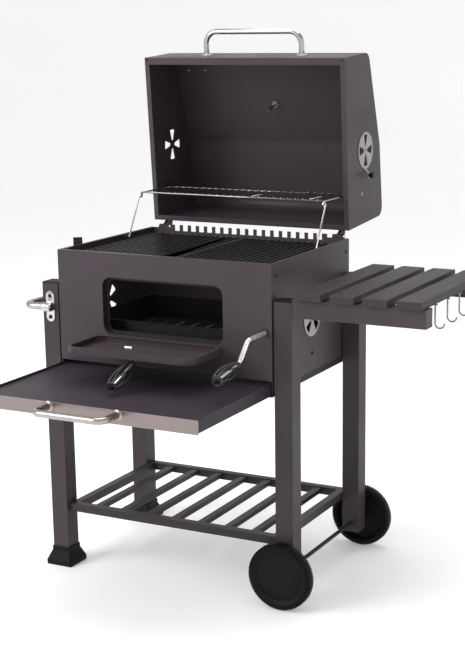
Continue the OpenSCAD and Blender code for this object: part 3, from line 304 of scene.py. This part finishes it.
# How far the folded, sawn and moulded edges of the shown CAD nodes are rounded, in metres.
ROUNDED = {
    "front_panel": 0.0006, "left_panel": 0.0006, "right_panel": 0.0006, "rear_panel": 0.0006,
    "left_legs": 0.0025, "right_legs": 0.0025, "shelf_frame": 0.0015, "shelf_slats": 0.0012,
    "table_rails": 0.002, "table_slats": 0.002, "fire_door": 0.0006, "lid_skin": 0.0005,
    "lid_end_left": 0.0005, "lid_end_right": 0.0005, "feet": 0.0015, "leg_caps": 0.0008,
    "ash_tray": 0.0006, "drawer_front": 0.0005, "cooking_grate_left": 0.0012,
    "cooking_grate_right": 0.0012, "charcoal_pan": 0.0005,
}


def dress(name, material, rounding):
    """Gives a shown CAD node its material, welds it, dissolves its flat-lying edges and rounds its
    edges.
    """
    node = nodes[name]
    node.data.materials.clear()
    node.data.materials.append(material)
    weld = node.modifiers.new("weld", "WELD")
    weld.merge_threshold = 0.00001
    flat = node.modifiers.new("flat", "DECIMATE")
    flat.decimate_type = "DISSOLVE"
    flat.angle_limit = math.radians(0.4)
    if rounding:
        bevel = node.modifiers.new("round", "BEVEL")
        bevel.width = rounding
        bevel.segments = 2
        bevel.limit_method = "ANGLE"
        bevel.angle_limit = math.radians(40)
        bevel.harden_normals = True
        bevel.use_clamp_overlap = True


for material, names in DRESS.items():
    for name in names:
        dress(name, material, ROUNDED.get(name, 0))


# ---- mesh helpers: points are in the cart's own frame, in millimetres ----


def around(k, count):
    """The angle of step k of a full turn in equal steps."""
    return 2 * math.pi * k / count


def shape_of(node):
    """The name of the piece that is shown in place of a CAD node."""
    return node + "_shape"


def mesh_piece(name, build, material, body, replaced=()):
    """Turns a bmesh into a shown piece that rides on a body and stands for the replaced nodes."""
    bmesh.ops.remove_doubles(build, verts=build.verts, dist=0.000001)
    loose = [edge for edge in build.edges if not edge.link_faces]
    bmesh.ops.delete(build, geom=loose, context="EDGES")
    bmesh.ops.recalc_face_normals(build, faces=build.faces)
    mesh = bpy.data.meshes.new(name)
    build.to_mesh(mesh)
    build.free()
    mesh.materials.append(material)
    mesh.shade_smooth()
    mesh.set_sharp_from_angle(angle=math.radians(32))
    piece = bpy.data.objects.new(name, mesh)
    bpy.context.scene.collection.objects.link(piece)
    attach(piece, body)
    if replaced:
        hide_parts(*replaced)


def join_loops(build, loops, closed=False):
    """Quads between loops of points; the first and last loop are capped unless closed."""
    rings = [[build.verts.new(at(*point)) for point in loop] for loop in loops]
    pairs = list(zip(rings, rings[1:]))
    if closed:
        pairs.append((rings[-1], rings[0]))
    for one, two in pairs:
        count = len(one)
        for i in range(count):
            j = (i + 1) % count
            build.faces.new((one[i], one[j], two[j], two[i]))
    if not closed:
        build.faces.new(rings[0])
        build.faces.new(rings[-1])


def side_axes(direction):
    """Two unit vectors square to a direction and to each other."""
    direction = Vector(direction).normalized()
    first = direction.orthogonal().normalized()
    return first, direction.cross(first)


def lathe(build, start, direction, profile, sides=48):
    """Turns (radius, distance) pairs about an axis; the profile is a closed outline."""
    start, direction = Vector(start), Vector(direction).normalized()
    first, second = side_axes(direction)
    loops = []
    for k in range(sides):
        angle = around(k, sides)
        out = first * math.cos(angle) + second * math.sin(angle)
        loops.append([start + direction * d + out * r for r, d in profile])
    join_loops(build, loops, closed=True)


def rounded_path(points, radius, steps=8):
    """The points with each inner corner turned into an arc."""
    points = [Vector(p) for p in points]
    path = [points[0]]
    for before, corner, after in zip(points, points[1:], points[2:]):
        u = (before - corner).normalized()
        v = (after - corner).normalized()
        half = u.angle(v) / 2
        reach = radius / math.tan(half)
        centre = corner + (u + v).normalized() * (radius / math.sin(half))
        first = corner + u * reach - centre
        last = corner + v * reach - centre
        turn = first.angle(last)
        for k in range(steps + 1):
            part = k / steps
            spoke = first * math.sin((1 - part) * turn) + last * math.sin(part * turn)
            path.append(centre + spoke / math.sin(turn))
    path.append(points[-1])
    return path


def sweep(build, path, section, sides=20, wide=None, loop=False):
    """A round or oval bar along a path. section gives (half width, half thickness) per point."""
    path = [Vector(p) for p in path]
    count = len(path)
    if not isinstance(section, list):
        section = [(section, section)] * count
    tangents = []
    for i in range(count):
        ahead = path[(i + 1) % count] if loop or i < count - 1 else path[i]
        behind = path[i - 1] if loop or i > 0 else path[i]
        tangents.append((ahead - behind).normalized())
    across = Vector(wide) if wide else tangents[0].orthogonal()
    loops = []
    for point, tangent, (half_w, half_t) in zip(path, tangents, section):
        across = (across - tangent * across.dot(tangent)).normalized()
        other = tangent.cross(across)
        loops.append([
            point + across * (half_w * math.cos(a)) + other * (half_t * math.sin(a))
            for a in (around(k, sides) for k in range(sides))])
    join_loops(build, loops, closed=loop)


def rounded_square(half, radius):
    """The outline of a square with rounded corners, as (x, y) pairs."""
    steps = 6
    outline = []
    for quarter in range(4):
        cx = (half - radius) * (1 if quarter in (0, 3) else -1)
        cy = (half - radius) * (1 if quarter in (0, 1) else -1)
        for k in range(steps + 1):
            angle = math.radians(90 * (quarter + k / steps))
            outline.append((cx + radius * math.cos(angle), cy + radius * math.sin(angle)))
    return outline


def plate(build, outlines, thickness, place, edge=0.3):
    """A flat plate with holes and rounded edges; place turns its (x, y, z) into a point."""
    curve = bpy.data.curves.new("plate", "CURVE")
    curve.dimensions = "2D"
    curve.fill_mode = "BOTH"
    curve.extrude = thickness / 2 - edge
    curve.bevel_depth = edge
    curve.bevel_resolution = 2
    curve.offset = -edge
    for outline in outlines:
        spline = curve.splines.new("POLY")
        spline.points.add(len(outline) - 1)
        for point, (x, y) in zip(spline.points, outline):
            point.co = (x, y, 0, 1)
        spline.use_cyclic_u = True
    holder = bpy.data.objects.new("plate", curve)
    mesh = holder.to_mesh()
    start = len(build.verts)
    build.from_mesh(mesh)
    build.verts.ensure_lookup_table()
    for vert in build.verts[start:]:
        vert.co = at(*place(vert.co.x, vert.co.y, vert.co.z))
    holder.to_mesh_clear()
    bpy.data.objects.remove(holder)
    bpy.data.curves.remove(curve)


def circle(radius, x=0.0, y=0.0, sides=48):
    """A circle's outline, as (x, y) pairs."""
    angles = [around(k, sides) for k in range(sides)]
    return [(x + radius * math.cos(a), y + radius * math.sin(a)) for a in angles]


def domed_head(radius, height, socket):
    """Profile of a button head, flat side at 0, with a socket sunk into its top."""
    angles = [math.radians(a) for a in range(0, 75, 12)]
    dome = [(radius * math.cos(a), height * math.sin(a)) for a in angles]
    floor_of_socket = height * 0.45
    return [(0, 0)] + dome + [(socket, height), (socket, floor_of_socket), (0, floor_of_socket)]


# ---- sizes shared by several pieces, as in the CAD model ----


def forward_and_down(degrees):
    """A unit vector towards the front that dips below the level by an angle."""
    angle = math.radians(degrees)
    return Vector((0, -math.cos(angle), -math.sin(angle)))


# The lid's hinge, the angle it stands open, and the closed lid's base, front and slope
HINGE_Y, HINGE_Z = 452.5, 816.5
LID_OPEN = math.radians(86)
LID_BASE = 816
LID_FRONT_Y = 7
LID_FRONT_H = 152
LID_SLOPE = math.atan((213 - LID_FRONT_H) / 240)

# Half the widths of the lid and of the fire box
LID_HALF = 285
BODY_HALF = 290

# The wire grips: where their rods bend, which way they point, and the grip's place on the rod
STEM_FOOT = Vector((0, -125, 590))
DOOR_GRIP = forward_and_down(21)
CRANK_ELBOW = Vector((274, -86.5, 656.7))
CRANK_END = Vector((251.2, -86.5, 601))
CRANK_GRIP = forward_and_down(9)
GRIP_GAP = 6
GRIP_L = 102
GRIP_BAR = GRIP_GAP + GRIP_L

# The legs' and the wheels' distance from the middle, and the wheels' radius
LEG_X = 317.5
WHEEL_R = 80.8


def opened(x, y, z):
    """A point of the closed lid, where the open lid has it."""
    dy, dz = y - HINGE_Y, z - HINGE_Z
    return Vector((
        x,
        HINGE_Y + dy * math.cos(LID_OPEN) + dz * math.sin(LID_OPEN),
        HINGE_Z - dy * math.sin(LID_OPEN) + dz * math.cos(LID_OPEN)))


def opened_direction(y, z):
    """A direction on the closed lid, as the open lid has it."""
    return opened(0, HINGE_Y + y, HINGE_Z + z) - Vector((0, HINGE_Y, HINGE_Z))


# ---- wheels and feet ----


def wheel(node, body, face_y, inward):
    """A moulded wheel with a dished cap, a ribbed shoulder, a web and a hub.

    Profiles are (radius, depth behind the outer face) pairs.
    """
    cap = [(0, 4.4), (18, 4.5), (34, 5.2), (48, 6.4), (54, 7.6), (56, 7.9), (57.2, 6.6), (59, 4.8),
           (63, 3.2)]
    shoulder = [(66, 1.4), (68.5, 0.4), (71.5, 0), (74.5, 0.6), (77.5, 2.4), (79.8, 5.2),
                (WHEEL_R, 9)]
    middle, width = 17, 34
    tread = [(WHEEL_R, middle)]
    back = [(64.5, 31), (62.5, 24), (61.5, 17), (60, 16), (22, 16), (17.4, 17.4), (16, 20),
            (16, 36.4), (15.4, 37), (6.2, 37), (5.4, 36.2), (5.4, 10), (0, 10)]
    ribbed = shoulder + tread + [(r, width - d) for r, d in reversed(shoulder)]
    profile = cap + ribbed + back
    ribs, groove = 72, 1.8
    rib_root, rib_height = 62, 19
    steps = ribs * 4
    build = bmesh.new()
    loops = []
    for k in range(steps):
        angle = around(k, steps)
        depth = groove if k % 4 > 1 else 0
        loop = []
        for i, (r, d) in enumerate(profile):
            if len(cap) < i < len(cap) + len(ribbed) - 1 and (r, d) not in tread:
                r -= depth * (r - rib_root) / rib_height
                d += depth * (middle - d) / middle
            x = LEG_X + r * math.cos(angle)
            loop.append((x, face_y + inward * d, WHEEL_R + r * math.sin(angle)))
        loops.append(loop)
    join_loops(build, loops, closed=True)
    mesh_piece(shape_of(node), build, black_plastic, body, [node])


def foot_sleeves():
    """Flared plastic feet with a socket for the leg, from (half width, height, corner) rows."""
    outer = [(36.2, 0, 4), (37, 0.8, 4), (37, 11, 4), (36.4, 13, 4), (33.2, 20, 4), (29.6, 28, 3.6),
             (26.6, 34.5, 3.2), (25.6, 37, 3), (25.6, 46, 3), (24.8, 47, 2.6)]
    inner = [(22.9, 47, 1), (22.9, 12.2, 1)]
    for name, y, replaced in (("foot_front", 24.5, ["feet"]), ("foot_rear", 412.5, [])):
        build = bmesh.new()
        loops = []
        for half, z, radius in outer + inner:
            loops.append([(x - LEG_X, y + dy, z) for x, dy in rounded_square(half, radius)])
        join_loops(build, loops)
        mesh_piece(name, build, black_plastic, "cart", replaced)


# ---- handles, grips and the crank ----


def escutcheon(build, foot, out, tube, radius):
    """A pressed rose round a handle's foot."""
    lathe(build, foot, out, [
        (tube - 1, 0), (radius, 0), (radius, 0.8), (radius * 0.93, 1.7), (radius * 0.75, 2.3),
        (tube + 1.6, 3.2), (tube + 0.5, 5.0), (tube - 1, 5.0)])


def bow_handle(node, body, metal, feet, out, reach, tube, bend, rose=0):
    """A tube bent into a bow between two feet; rose is the radius of the ring round each foot."""
    first, last = (Vector(foot) for foot in feet)
    out = Vector(out).normalized()
    build = bmesh.new()
    path = rounded_path([first, first + out * reach, last + out * reach, last], bend, 12)
    sweep(build, path, tube, 32)
    if rose:
        for foot in (first, last):
            escutcheon(build, foot, out, tube, rose)
    mesh_piece(shape_of(node), build, metal, body, [node])


def cage_grip(node, body, start, direction):
    """A grip of five wires that twist and bulge between a collar and a flared ring."""
    start, direction = Vector(start), Vector(direction)
    first, second = side_axes(direction)
    wires, steps = 5, 24
    build = bmesh.new()
    lathe(build, start, direction, [(3.5, 0), (7.2, 0), (8.2, 1.2), (8.2, 5.6), (6.6, 8), (3.5, 8)])
    for wire in range(wires):
        path = []
        for k in range(steps + 1):
            part = k / steps
            bulge = math.sin(math.pi * part) ** 0.85
            radius = 5.8 + 5.6 * part + 8.2 * bulge
            angle = math.radians(360 / wires * wire + 62 * part)
            out = first * math.cos(angle) + second * math.sin(angle)
            path.append(start + direction * (5 + part * (GRIP_L - 7.6)) + out * radius)
        sweep(build, path, 1.9, 12)
    ring_centre = start + direction * (GRIP_L - 2.5)
    ring = []
    for k in range(40):
        angle = around(k, 40)
        ring.append(ring_centre + (first * math.cos(angle) + second * math.sin(angle)) * 11.5)
    sweep(build, ring, 2.1, 14, loop=True)
    lathe(build, start, direction, [
        (3.5, GRIP_L - 3.6), (11, GRIP_L - 3.4), (11, GRIP_L - 1.8), (6.5, GRIP_L - 1.0),
        (3.5, GRIP_L - 1.0)])
    mesh_piece(shape_of(node), build, wire_coat, body, [node])


def cap_nut(name, body, start, direction):
    """A domed nut on the end of a grip's rod."""
    build = bmesh.new()
    lathe(build, start, direction, [
        (0, 6.4), (2, 6.2), (3.8, 5.2), (4.7, 3.6), (4.9, 3), (5.5, 2.4), (5.5, 0.4), (5.1, 0),
        (0, 0)], 36)
    mesh_piece(name, build, black_plastic, body)


def clamped(value):
    """The value, held between 0 and 1."""
    return max(0.0, min(1.0, value))


def crank():
    """One bent rod: a round shaft, an arm pressed flat and a thinner rod for the grip."""
    shaft_end = Vector((CRANK_ELBOW.x, 446, CRANK_ELBOW.z))
    corners = [shaft_end, CRANK_ELBOW, CRANK_END, CRANK_END + CRANK_GRIP * GRIP_BAR]
    path = rounded_path(corners, 9, 10)
    arm = CRANK_END - CRANK_ELBOW
    dense = []
    for one, two in zip(path, path[1:]):
        parts = max(1, int((two - one).length / 4))
        dense += [one.lerp(two, k / parts) for k in range(parts)]
    dense.append(path[-1])
    shaft_r, grip_r = 5.0, 3.0
    section = []
    for point in dense:
        along = (point - CRANK_ELBOW).dot(arm.normalized()) / arm.length
        flat = clamped(3.2 * math.sin(math.pi * clamped(along)) - 0.6)
        radius = shaft_r if along < 0.5 else grip_r + (shaft_r - grip_r) * clamped(6 * (1 - along))
        section.append((radius + 0.5 * flat, radius - 1.8 * flat))
    build = bmesh.new()
    sweep(build, dense, section, 24, wide=Vector((0, -1, 0)).cross(arm.normalized()))
    # The rod's plating carries a painted sheen.
    mesh_piece(shape_of("crank_rod"), build, rod_plating_painted_sheen, "crank", ["crank_rod"])


def door_stem():
    """The bent rod of the fire door's grip, with its washer below the door and its nut above."""
    x, y = STEM_FOOT.x, STEM_FOOT.y
    end = STEM_FOOT + DOOR_GRIP * GRIP_BAR
    path = rounded_path([Vector((x, y, 604)), STEM_FOOT, end], 6, 8)
    build = bmesh.new()
    sweep(build, path, [(3.5, 3.5) if p.y > y - 1 else (3.1, 3.1) for p in path], 20)
    lathe(build, (x, y, 599), (0, 0, 1), [(3, 0), (6.4, 0), (7, 0.6), (7, 2), (3, 2)], 36)
    lathe(build, (x, y, 602.5), (0, 0, 1), [(3, 0), (8, 0), (8, 2.6), (6.6, 4), (3, 4)], 6)
    # The stem's plating carries a painted sheen.
    mesh_piece(shape_of("door_stem"), build, rod_plating_painted_sheen, "fire_door", ["door_stem"])


def door_latch():
    """A spring clip of bent strip with a rounded catch near its top."""
    y, z = -150.5, 602.5
    arch = [(-1.6 * math.sin(math.pi * k / 10), 19 + 9 * k / 10) for k in range(11)]
    front = [(0, 0)] + arch
    back = [(dy + 1, dz) for dy, dz in reversed(arch)] + [(1, 1), (12, 1), (12, 0)]
    outline = [(y + dy, z + dz) for dy, dz in front + back]
    build = bmesh.new()
    join_loops(build, [[(x, py, pz) for py, pz in outline] for x in (-9.5, 9.5)])
    mesh_piece(shape_of("door_latch"), build, satin_steel, "fire_door", ["door_latch"])


def push_handle_clamps():
    """Stamped straps that hold the push handle: two eyes and a hood over the tube's end."""
    x, z, eye = -318, 672, 26
    strap = []
    for k in range(72):
        angle = math.radians(90 - 5 * k)
        lobe = eye if math.sin(angle) >= 0 else -eye
        strap.append((12 * math.cos(angle), lobe + 12 * math.sin(angle)))
    outlines = [strap, circle(5.2, 0, eye, 28), circle(5.2, 0, -eye, 28)]
    hood = [(9.1, 0), (10.6, 0), (11.5, 1), (11.5, 20), (10.6, 23), (8.4, 25), (0, 25), (0, 23.2),
            (9.1, 23.2)]
    ends = (("clamp_front", 2, -9.2, -1, ["handle_brackets"]), ("clamp_rear", 435, 446.2, 1, []))
    for name, face, tube_y, out, replaced in ends:
        build = bmesh.new()
        plate(build, outlines, 2, lambda u, v, w: (x + u, face + out * (1 + w), z + v))
        lathe(build, (x - 13, tube_y, z), (1, 0, 0), hood, 40)
        mesh_piece(name, build, chrome, "cart", replaced)
        screws = bmesh.new()
        for dz in (-eye, eye):
            start = (x, face + out * 0.6, z + dz)
            lathe(screws, start, (0, out, 0), domed_head(5.1, 1.9, 2.6), 24)
        mesh_piece(name + "_screws", screws, black_coat, "cart")


# ---- small hardware ----


def small_screws():
    """Domed screw heads on the panels and the lid, and the stud ends inside the lid."""
    build = bmesh.new()
    shank = [(0, 0), (2.4, 0), (2.4, 7.5), (0, 7.5)]
    for side in (-1, 1):
        for y, z in ((22, 786), (420, 784), (218, 566)):
            lathe(build, (side * BODY_HALF, y, z), (side, 0, 0), domed_head(5, 2.5, 1.7), 28)
            lathe(build, (side * (BODY_HALF - 7.4), y, z), (side, 0, 0), shank, 20)
    mesh_piece(shape_of("panel_screws"), build, black_coat, "cart", ["panel_screws"])
    build = bmesh.new()
    down = opened_direction(0, -1)
    for x in (-278, 278):
        lathe(build, opened(x, 13, LID_BASE), down, domed_head(3.8, 0.6, 1.3), 24)
    mesh_piece("lid_lip_screws", build, black_coat, "lid")
    build = bmesh.new()
    inward = opened_direction(math.sin(LID_SLOPE), -math.cos(LID_SLOPE))
    for x in (-249, -197):
        start = opened(x, 55, 966.8 + math.tan(LID_SLOPE) * (55 - LID_FRONT_Y))
        lathe(build, start, inward, domed_head(4, 2.6, 1.2), 24)
    for side in (-1, 1):
        start = (side * LID_HALF, 533, 917.5)
        lathe(build, start, (side, 0, 0), domed_head(4.2, 1.9, 1.5), 28)
    mesh_piece("lid_studs", build, zinc, "lid")


def tool_hooks():
    """J hooks of bent wire under the table's outer edge, each with a collar."""
    count, pitch, bend, drop = 4, 80, 11, 42
    collar = [(1.9, 0), (5.6, 0), (6, 0.6), (5.6, 1.5), (3.2, 2.4), (1.9, 2.6)]
    build = bmesh.new()
    for k in range(count):
        x, y, z = 653, 80 + pitch * k, 738
        path = [Vector((x, y, z - 1)), Vector((x, y, z - drop))]
        for step in range(1, 17):
            angle = math.radians(180 + 184 * step / 16)
            path.append(Vector((
                x + bend + bend * math.cos(angle), y, z - drop + bend * math.sin(angle))))
        sweep(build, path, 2.0, 16)
        lathe(build, (x, y, z), (0, 0, -1), collar, 28)
    mesh_piece(shape_of("table_hooks"), build, hook_plating, "cart", ["table_hooks"])


def vent_opening(middle):
    """The outline of one opening of a vent disc: a sector with an arc at its outer end."""
    inner, outer, spread = 11, 40, math.radians(17.5)
    angles = [middle + a for a in (-spread, 0, spread)]
    sector = [(inner * math.cos(a), inner * math.sin(a)) for a in angles]
    angles = [middle + spread * (1 - step / 4) for step in range(9)]
    return sector + [(outer * math.cos(a), outer * math.sin(a)) for a in angles]


def vent(node, body, centre, out, turn, axes):
    """A pressed damper disc with four openings, its rivet, and a bent tab with a knob."""
    along, up = axes
    centre = Vector(centre)
    radial = along * math.cos(turn) + up * math.sin(turn)
    cross = up * math.cos(turn) - along * math.sin(turn)

    def place(u, v, w):
        return centre + radial * u + cross * v + Vector((out * w, 0, 0))

    outlines = [circle(47, sides=96)] + [vent_opening(math.radians(90 * k)) for k in range(4)]
    build = bmesh.new()
    plate(build, outlines, 1.15, lambda u, v, w: place(u, v, 0.93 + w), edge=0.35)
    lathe(build, place(0, 0, 1.4), (out, 0, 0), domed_head(8, 2.6, 2.4), 36)
    tab = [(42, 0.35), (42, 1.5), (48.5, 1.5), (58.5, 11), (70, 11), (70, 9.8), (59.2, 9.8),
           (50, 0.35)]
    join_loops(build, [[place(u, v, w) for u, w in tab] for v in (-6, -5.6, 5.6, 6)])
    mesh_piece(shape_of(node), build, satin_steel, body, [node])
    knob = bmesh.new()
    lathe(knob, place(63, 0, 11), (out, 0, 0), [
        (0, 0), (5, 0), (5.4, 1.4), (5, 2.4), (6.6, 3.6), (7.5, 5.4), (7.5, 8.8), (6.8, 10.4),
        (5.2, 11), (0, 11)], 40)
    lathe(knob, place(63, 0, 8), (out, 0, 0), [(0, 0), (3.2, 0), (3.2, 1.9), (0, 1.9)], 24)
    mesh_piece(node + "_knob", knob, black_plastic, body)


def vents():
    """A vent on each end of the lid and one on each side of the fire box."""
    lid_axes = (opened_direction(1, 0), opened_direction(0, 1))
    body_axes = (Vector((0, 1, 0)), Vector((0, 0, 1)))
    for side, word in ((-1, "left"), (1, "right")):
        lid_centre = opened(side * LID_HALF, 250, 932)
        vent("lid_vent_" + word, "vent_lid_" + word, lid_centre, side, math.radians(-4), lid_axes)
        body_centre = (side * BODY_HALF, 218, 655)
        vent("body_vent_" + word, "vent_body_" + word, body_centre, side, math.radians(45), body_axes)


def thermometer():
    """The lid's dial thermometer, which faces up when the lid is closed."""
    distance = 138
    height = LID_BASE + LID_FRONT_H + math.tan(LID_SLOPE) * distance
    spot = opened(0, LID_FRONT_Y + distance, height)
    up = opened_direction(-math.sin(LID_SLOPE), math.cos(LID_SLOPE)).normalized()
    side = Vector((1, 0, 0))
    north = up.cross(side)

    def spoke(angle):
        out = side * math.cos(angle) + north * math.sin(angle)
        return out, north * math.cos(angle) - side * math.sin(angle)

    def slab(build, corners, low, high):
        join_loops(build, [[spot + up * h + corner for corner in corners] for h in (low, high)])

    case = bmesh.new()
    lathe(case, spot, up, [
        (0, 0), (29, 0), (30, 0.8), (30, 7.2), (29.2, 8.6), (28, 9), (27.2, 8.4), (27, 7.2),
        (27, 3.5), (0, 3.5)], 72)
    mesh_piece(shape_of("thermometer"), case, zinc, "lid", ["thermometer"])
    probe = bmesh.new()
    lathe(probe, spot, up, [(0, -48), (2, -48), (3, -46.5), (3, -7), (0, -7)], 28)
    lathe(probe, spot, up, [(0, -8), (5.9, -8), (5.9, -0.1), (0, -0.1)], 32)
    lathe(probe, spot, up, [(6, -5.1), (10.4, -5.1), (11, -4.6), (11, -1.4), (6, -1.4)], 6)
    mesh_piece("thermometer_probe", probe, hook_plating, "lid")
    face = bmesh.new()
    lathe(face, spot, up, [(0, 3.5), (26.6, 3.5), (26.6, 3.8), (0, 3.8)], 72)
    mesh_piece("thermometer_dial", face, dial_white, "lid")
    first_mark = 225
    marks = bmesh.new()
    for k in range(28):
        out, cross = spoke(math.radians(first_mark - 10 * k))
        start, width = (17.5, 0.55) if k % 3 == 0 else (20.5, 0.3)
        end = 24.5
        slab(marks, [out * start - cross * width, out * end - cross * width,
                     out * end + cross * width, out * start + cross * width], 3.8, 4.0)
    mesh_piece("thermometer_marks", marks, black_plastic, "lid")
    needle = bmesh.new()
    out, cross = spoke(math.radians(first_mark))
    slab(needle, [out * -6 - cross * 1.4, out * -6 + cross * 1.4,
                  out * 21 + cross * 0.3, out * 21 - cross * 0.3], 4.4, 5.0)
    lathe(needle, spot, up, [
        (0, 1.6), (1, 1.6), (1, 4.2), (3, 4.2), (3, 4.9), (2.2, 5.2), (0, 5.2)], 24)
    mesh_piece(shape_of("thermometer_needle"), needle, needle_red, "needle",
               ["thermometer_needle"])


def build_pieces():
    """Makes every piece that is shown in place of a CAD node or beside one."""
    wheel("wheel_front", "front_wheel", -36, 1)
    wheel("wheel_rear", "rear_wheel", 482, -1)
    foot_sleeves()
    lid_out = opened_direction(-1, 0)
    lid_feet = [opened(-137, LID_FRONT_Y, 886), opened(137, LID_FRONT_Y, 886)]
    drawer_feet = [(-89.5, -342.5, 527), (89.5, -342.5, 527)]
    push_feet = [(-308, -9.2, 672), (-308, 446.2, 672)]
    bow_handle("lid_handle", "lid", chrome, lid_feet, lid_out, 60, 7.2, 32, 16)
    bow_handle("drawer_handle", "drawer", satin_chrome, drawer_feet, (0, -1, 0), 62, 8, 20, 12)
    bow_handle("push_handle", "cart", satin_chrome, push_feet, (-1, 0, 0), 78, 9, 26)
    crank()
    door_stem()
    door_latch()
    cage_grip("crank_grip", "grip", CRANK_END + CRANK_GRIP * GRIP_GAP, CRANK_GRIP)
    cage_grip("door_grip", "fire_door", STEM_FOOT + DOOR_GRIP * GRIP_GAP, DOOR_GRIP)
    cap_nut("crank_nut", "crank", CRANK_END + CRANK_GRIP * (GRIP_BAR + 0.6), CRANK_GRIP)
    cap_nut("door_nut", "fire_door", STEM_FOOT + DOOR_GRIP * (GRIP_BAR - 1.0), DOOR_GRIP)
    push_handle_clamps()
    small_screws()
    tool_hooks()
    vents()
    thermometer()


build_pieces()


# ---- floor, lights and camera ----


def floor():
    """A wide round pale floor whose rim curves up into a low wall, the same from all sides."""
    pale = (0.93, 0.93, 0.93)
    material = Material("floor", pale, 0.7)
    clouds = material.noise(2, detail=2)
    tone = material.ramp(clouds, [(0.3, scaled(pale, 0.99)), (0.7, scaled(pale, 1.01))])
    material.paint("Base Color", tone)
    material.set("Emission Color", (*pale, 1))
    material.set("Emission Strength", 0.2)
    flat, rim, top = 8.0, 3.0, 6.0
    below = 0.0002
    profile = [(0.5, 0), (3.0, 0), (flat, 0)]
    for step in range(1, 13):
        angle = math.radians(90 * step / 12)
        profile.append((flat + rim * math.sin(angle), rim - rim * math.cos(angle)))
    profile.append((flat + rim, top))
    sides = 96
    angles = [around(k, sides) for k in range(sides)]
    build = bmesh.new()
    rows = [
        [build.verts.new((r * math.cos(a), r * math.sin(a), z - below)) for a in angles]
        for r, z in profile]
    build.faces.new(rows[0])
    for near, far in zip(rows, rows[1:]):
        for k in range(sides):
            build.faces.new((near[k - 1], near[k], far[k], far[k - 1]))
    bmesh.ops.recalc_face_normals(build, faces=build.faces)
    mesh = bpy.data.meshes.new("floor")
    build.to_mesh(mesh)
    build.free()
    mesh.shade_smooth()
    mesh.materials.append(material.material)
    piece = bpy.data.objects.new("floor", mesh)
    bpy.context.scene.collection.objects.link(piece)


def soft_light(name, place, size, power):
    """A square area light of that size, in metres, aimed at the cart's middle."""
    data = bpy.data.lights.new(name, "AREA")
    data.shape = "SQUARE"
    data.size = size
    data.energy = power
    lamp = bpy.data.objects.new(name, data)
    lamp.location = place
    aim = Vector((0, 0, 0.6)) - Vector(place)
    lamp.rotation_euler = aim.to_track_quat("-Z", "Y").to_euler()
    bpy.context.scene.collection.objects.link(lamp)


def studio():
    """Two soft lights and a pale sky, dimmer near the horizon and on the right."""
    world = bpy.data.worlds.new("studio")
    world.use_nodes = True
    sky = world.node_tree
    background = sky.nodes["Background"]
    background.inputs["Strength"].default_value = 0.8
    direction = sky.nodes.new("ShaderNodeTexCoord")
    split = sky.nodes.new("ShaderNodeSeparateXYZ")
    sky.links.new(direction.outputs["Generated"], split.inputs["Vector"])
    both = sky.nodes.new("ShaderNodeVectorMath")
    both.operation = "MULTIPLY"
    from_horizon = ((0.05, 0.22), (0.6, 1))
    to_right = ((0, 1), (0.9, 0.45))
    for index, axis, stops in ((0, "Z", from_horizon), (1, "X", to_right)):
        ramp = sky.nodes.new("ShaderNodeValToRGB")
        for element, (position, grey) in zip(ramp.color_ramp.elements, stops):
            element.position = position
            element.color = (grey, grey, grey, 1)
        sky.links.new(split.outputs[axis], ramp.inputs["Fac"])
        sky.links.new(ramp.outputs["Color"], both.inputs[index])
    sky.links.new(both.outputs["Vector"], background.inputs["Color"])
    bpy.context.scene.world = world
    soft_light("key", (-2.6, -3.2, 2.8), 2.4, 120)
    soft_light("top", (0.0, 0.2, 3.8), 3.0, 70)
    bpy.context.scene.view_settings.view_transform = "Standard"


def camera():
    """A long lens from the front right and a little above."""
    data = bpy.data.cameras.new("camera")
    data.lens = 80
    data.sensor_width = 36
    data.shift_x = -0.0485
    data.shift_y = 0.048
    data.clip_start = 0.1
    data.clip_end = 50
    view = bpy.data.objects.new("camera", data)
    azimuth, pitch, roll = (math.radians(a) for a in (26.92, 12.85, -0.59))
    level = math.cos(pitch)
    forward = Vector((-math.sin(azimuth) * level, math.cos(azimuth) * level, -math.sin(pitch)))
    turn = forward.to_track_quat("-Z", "Y").to_matrix() @ Matrix.Rotation(roll, 3, "Z")
    view.matrix_world = Matrix.Translation(at(1716.7, -2850.3, 1337.3)) @ turn.to_4x4()
    bpy.context.scene.collection.objects.link(view)
    bpy.context.scene.camera = view


floor()
studio()
camera()
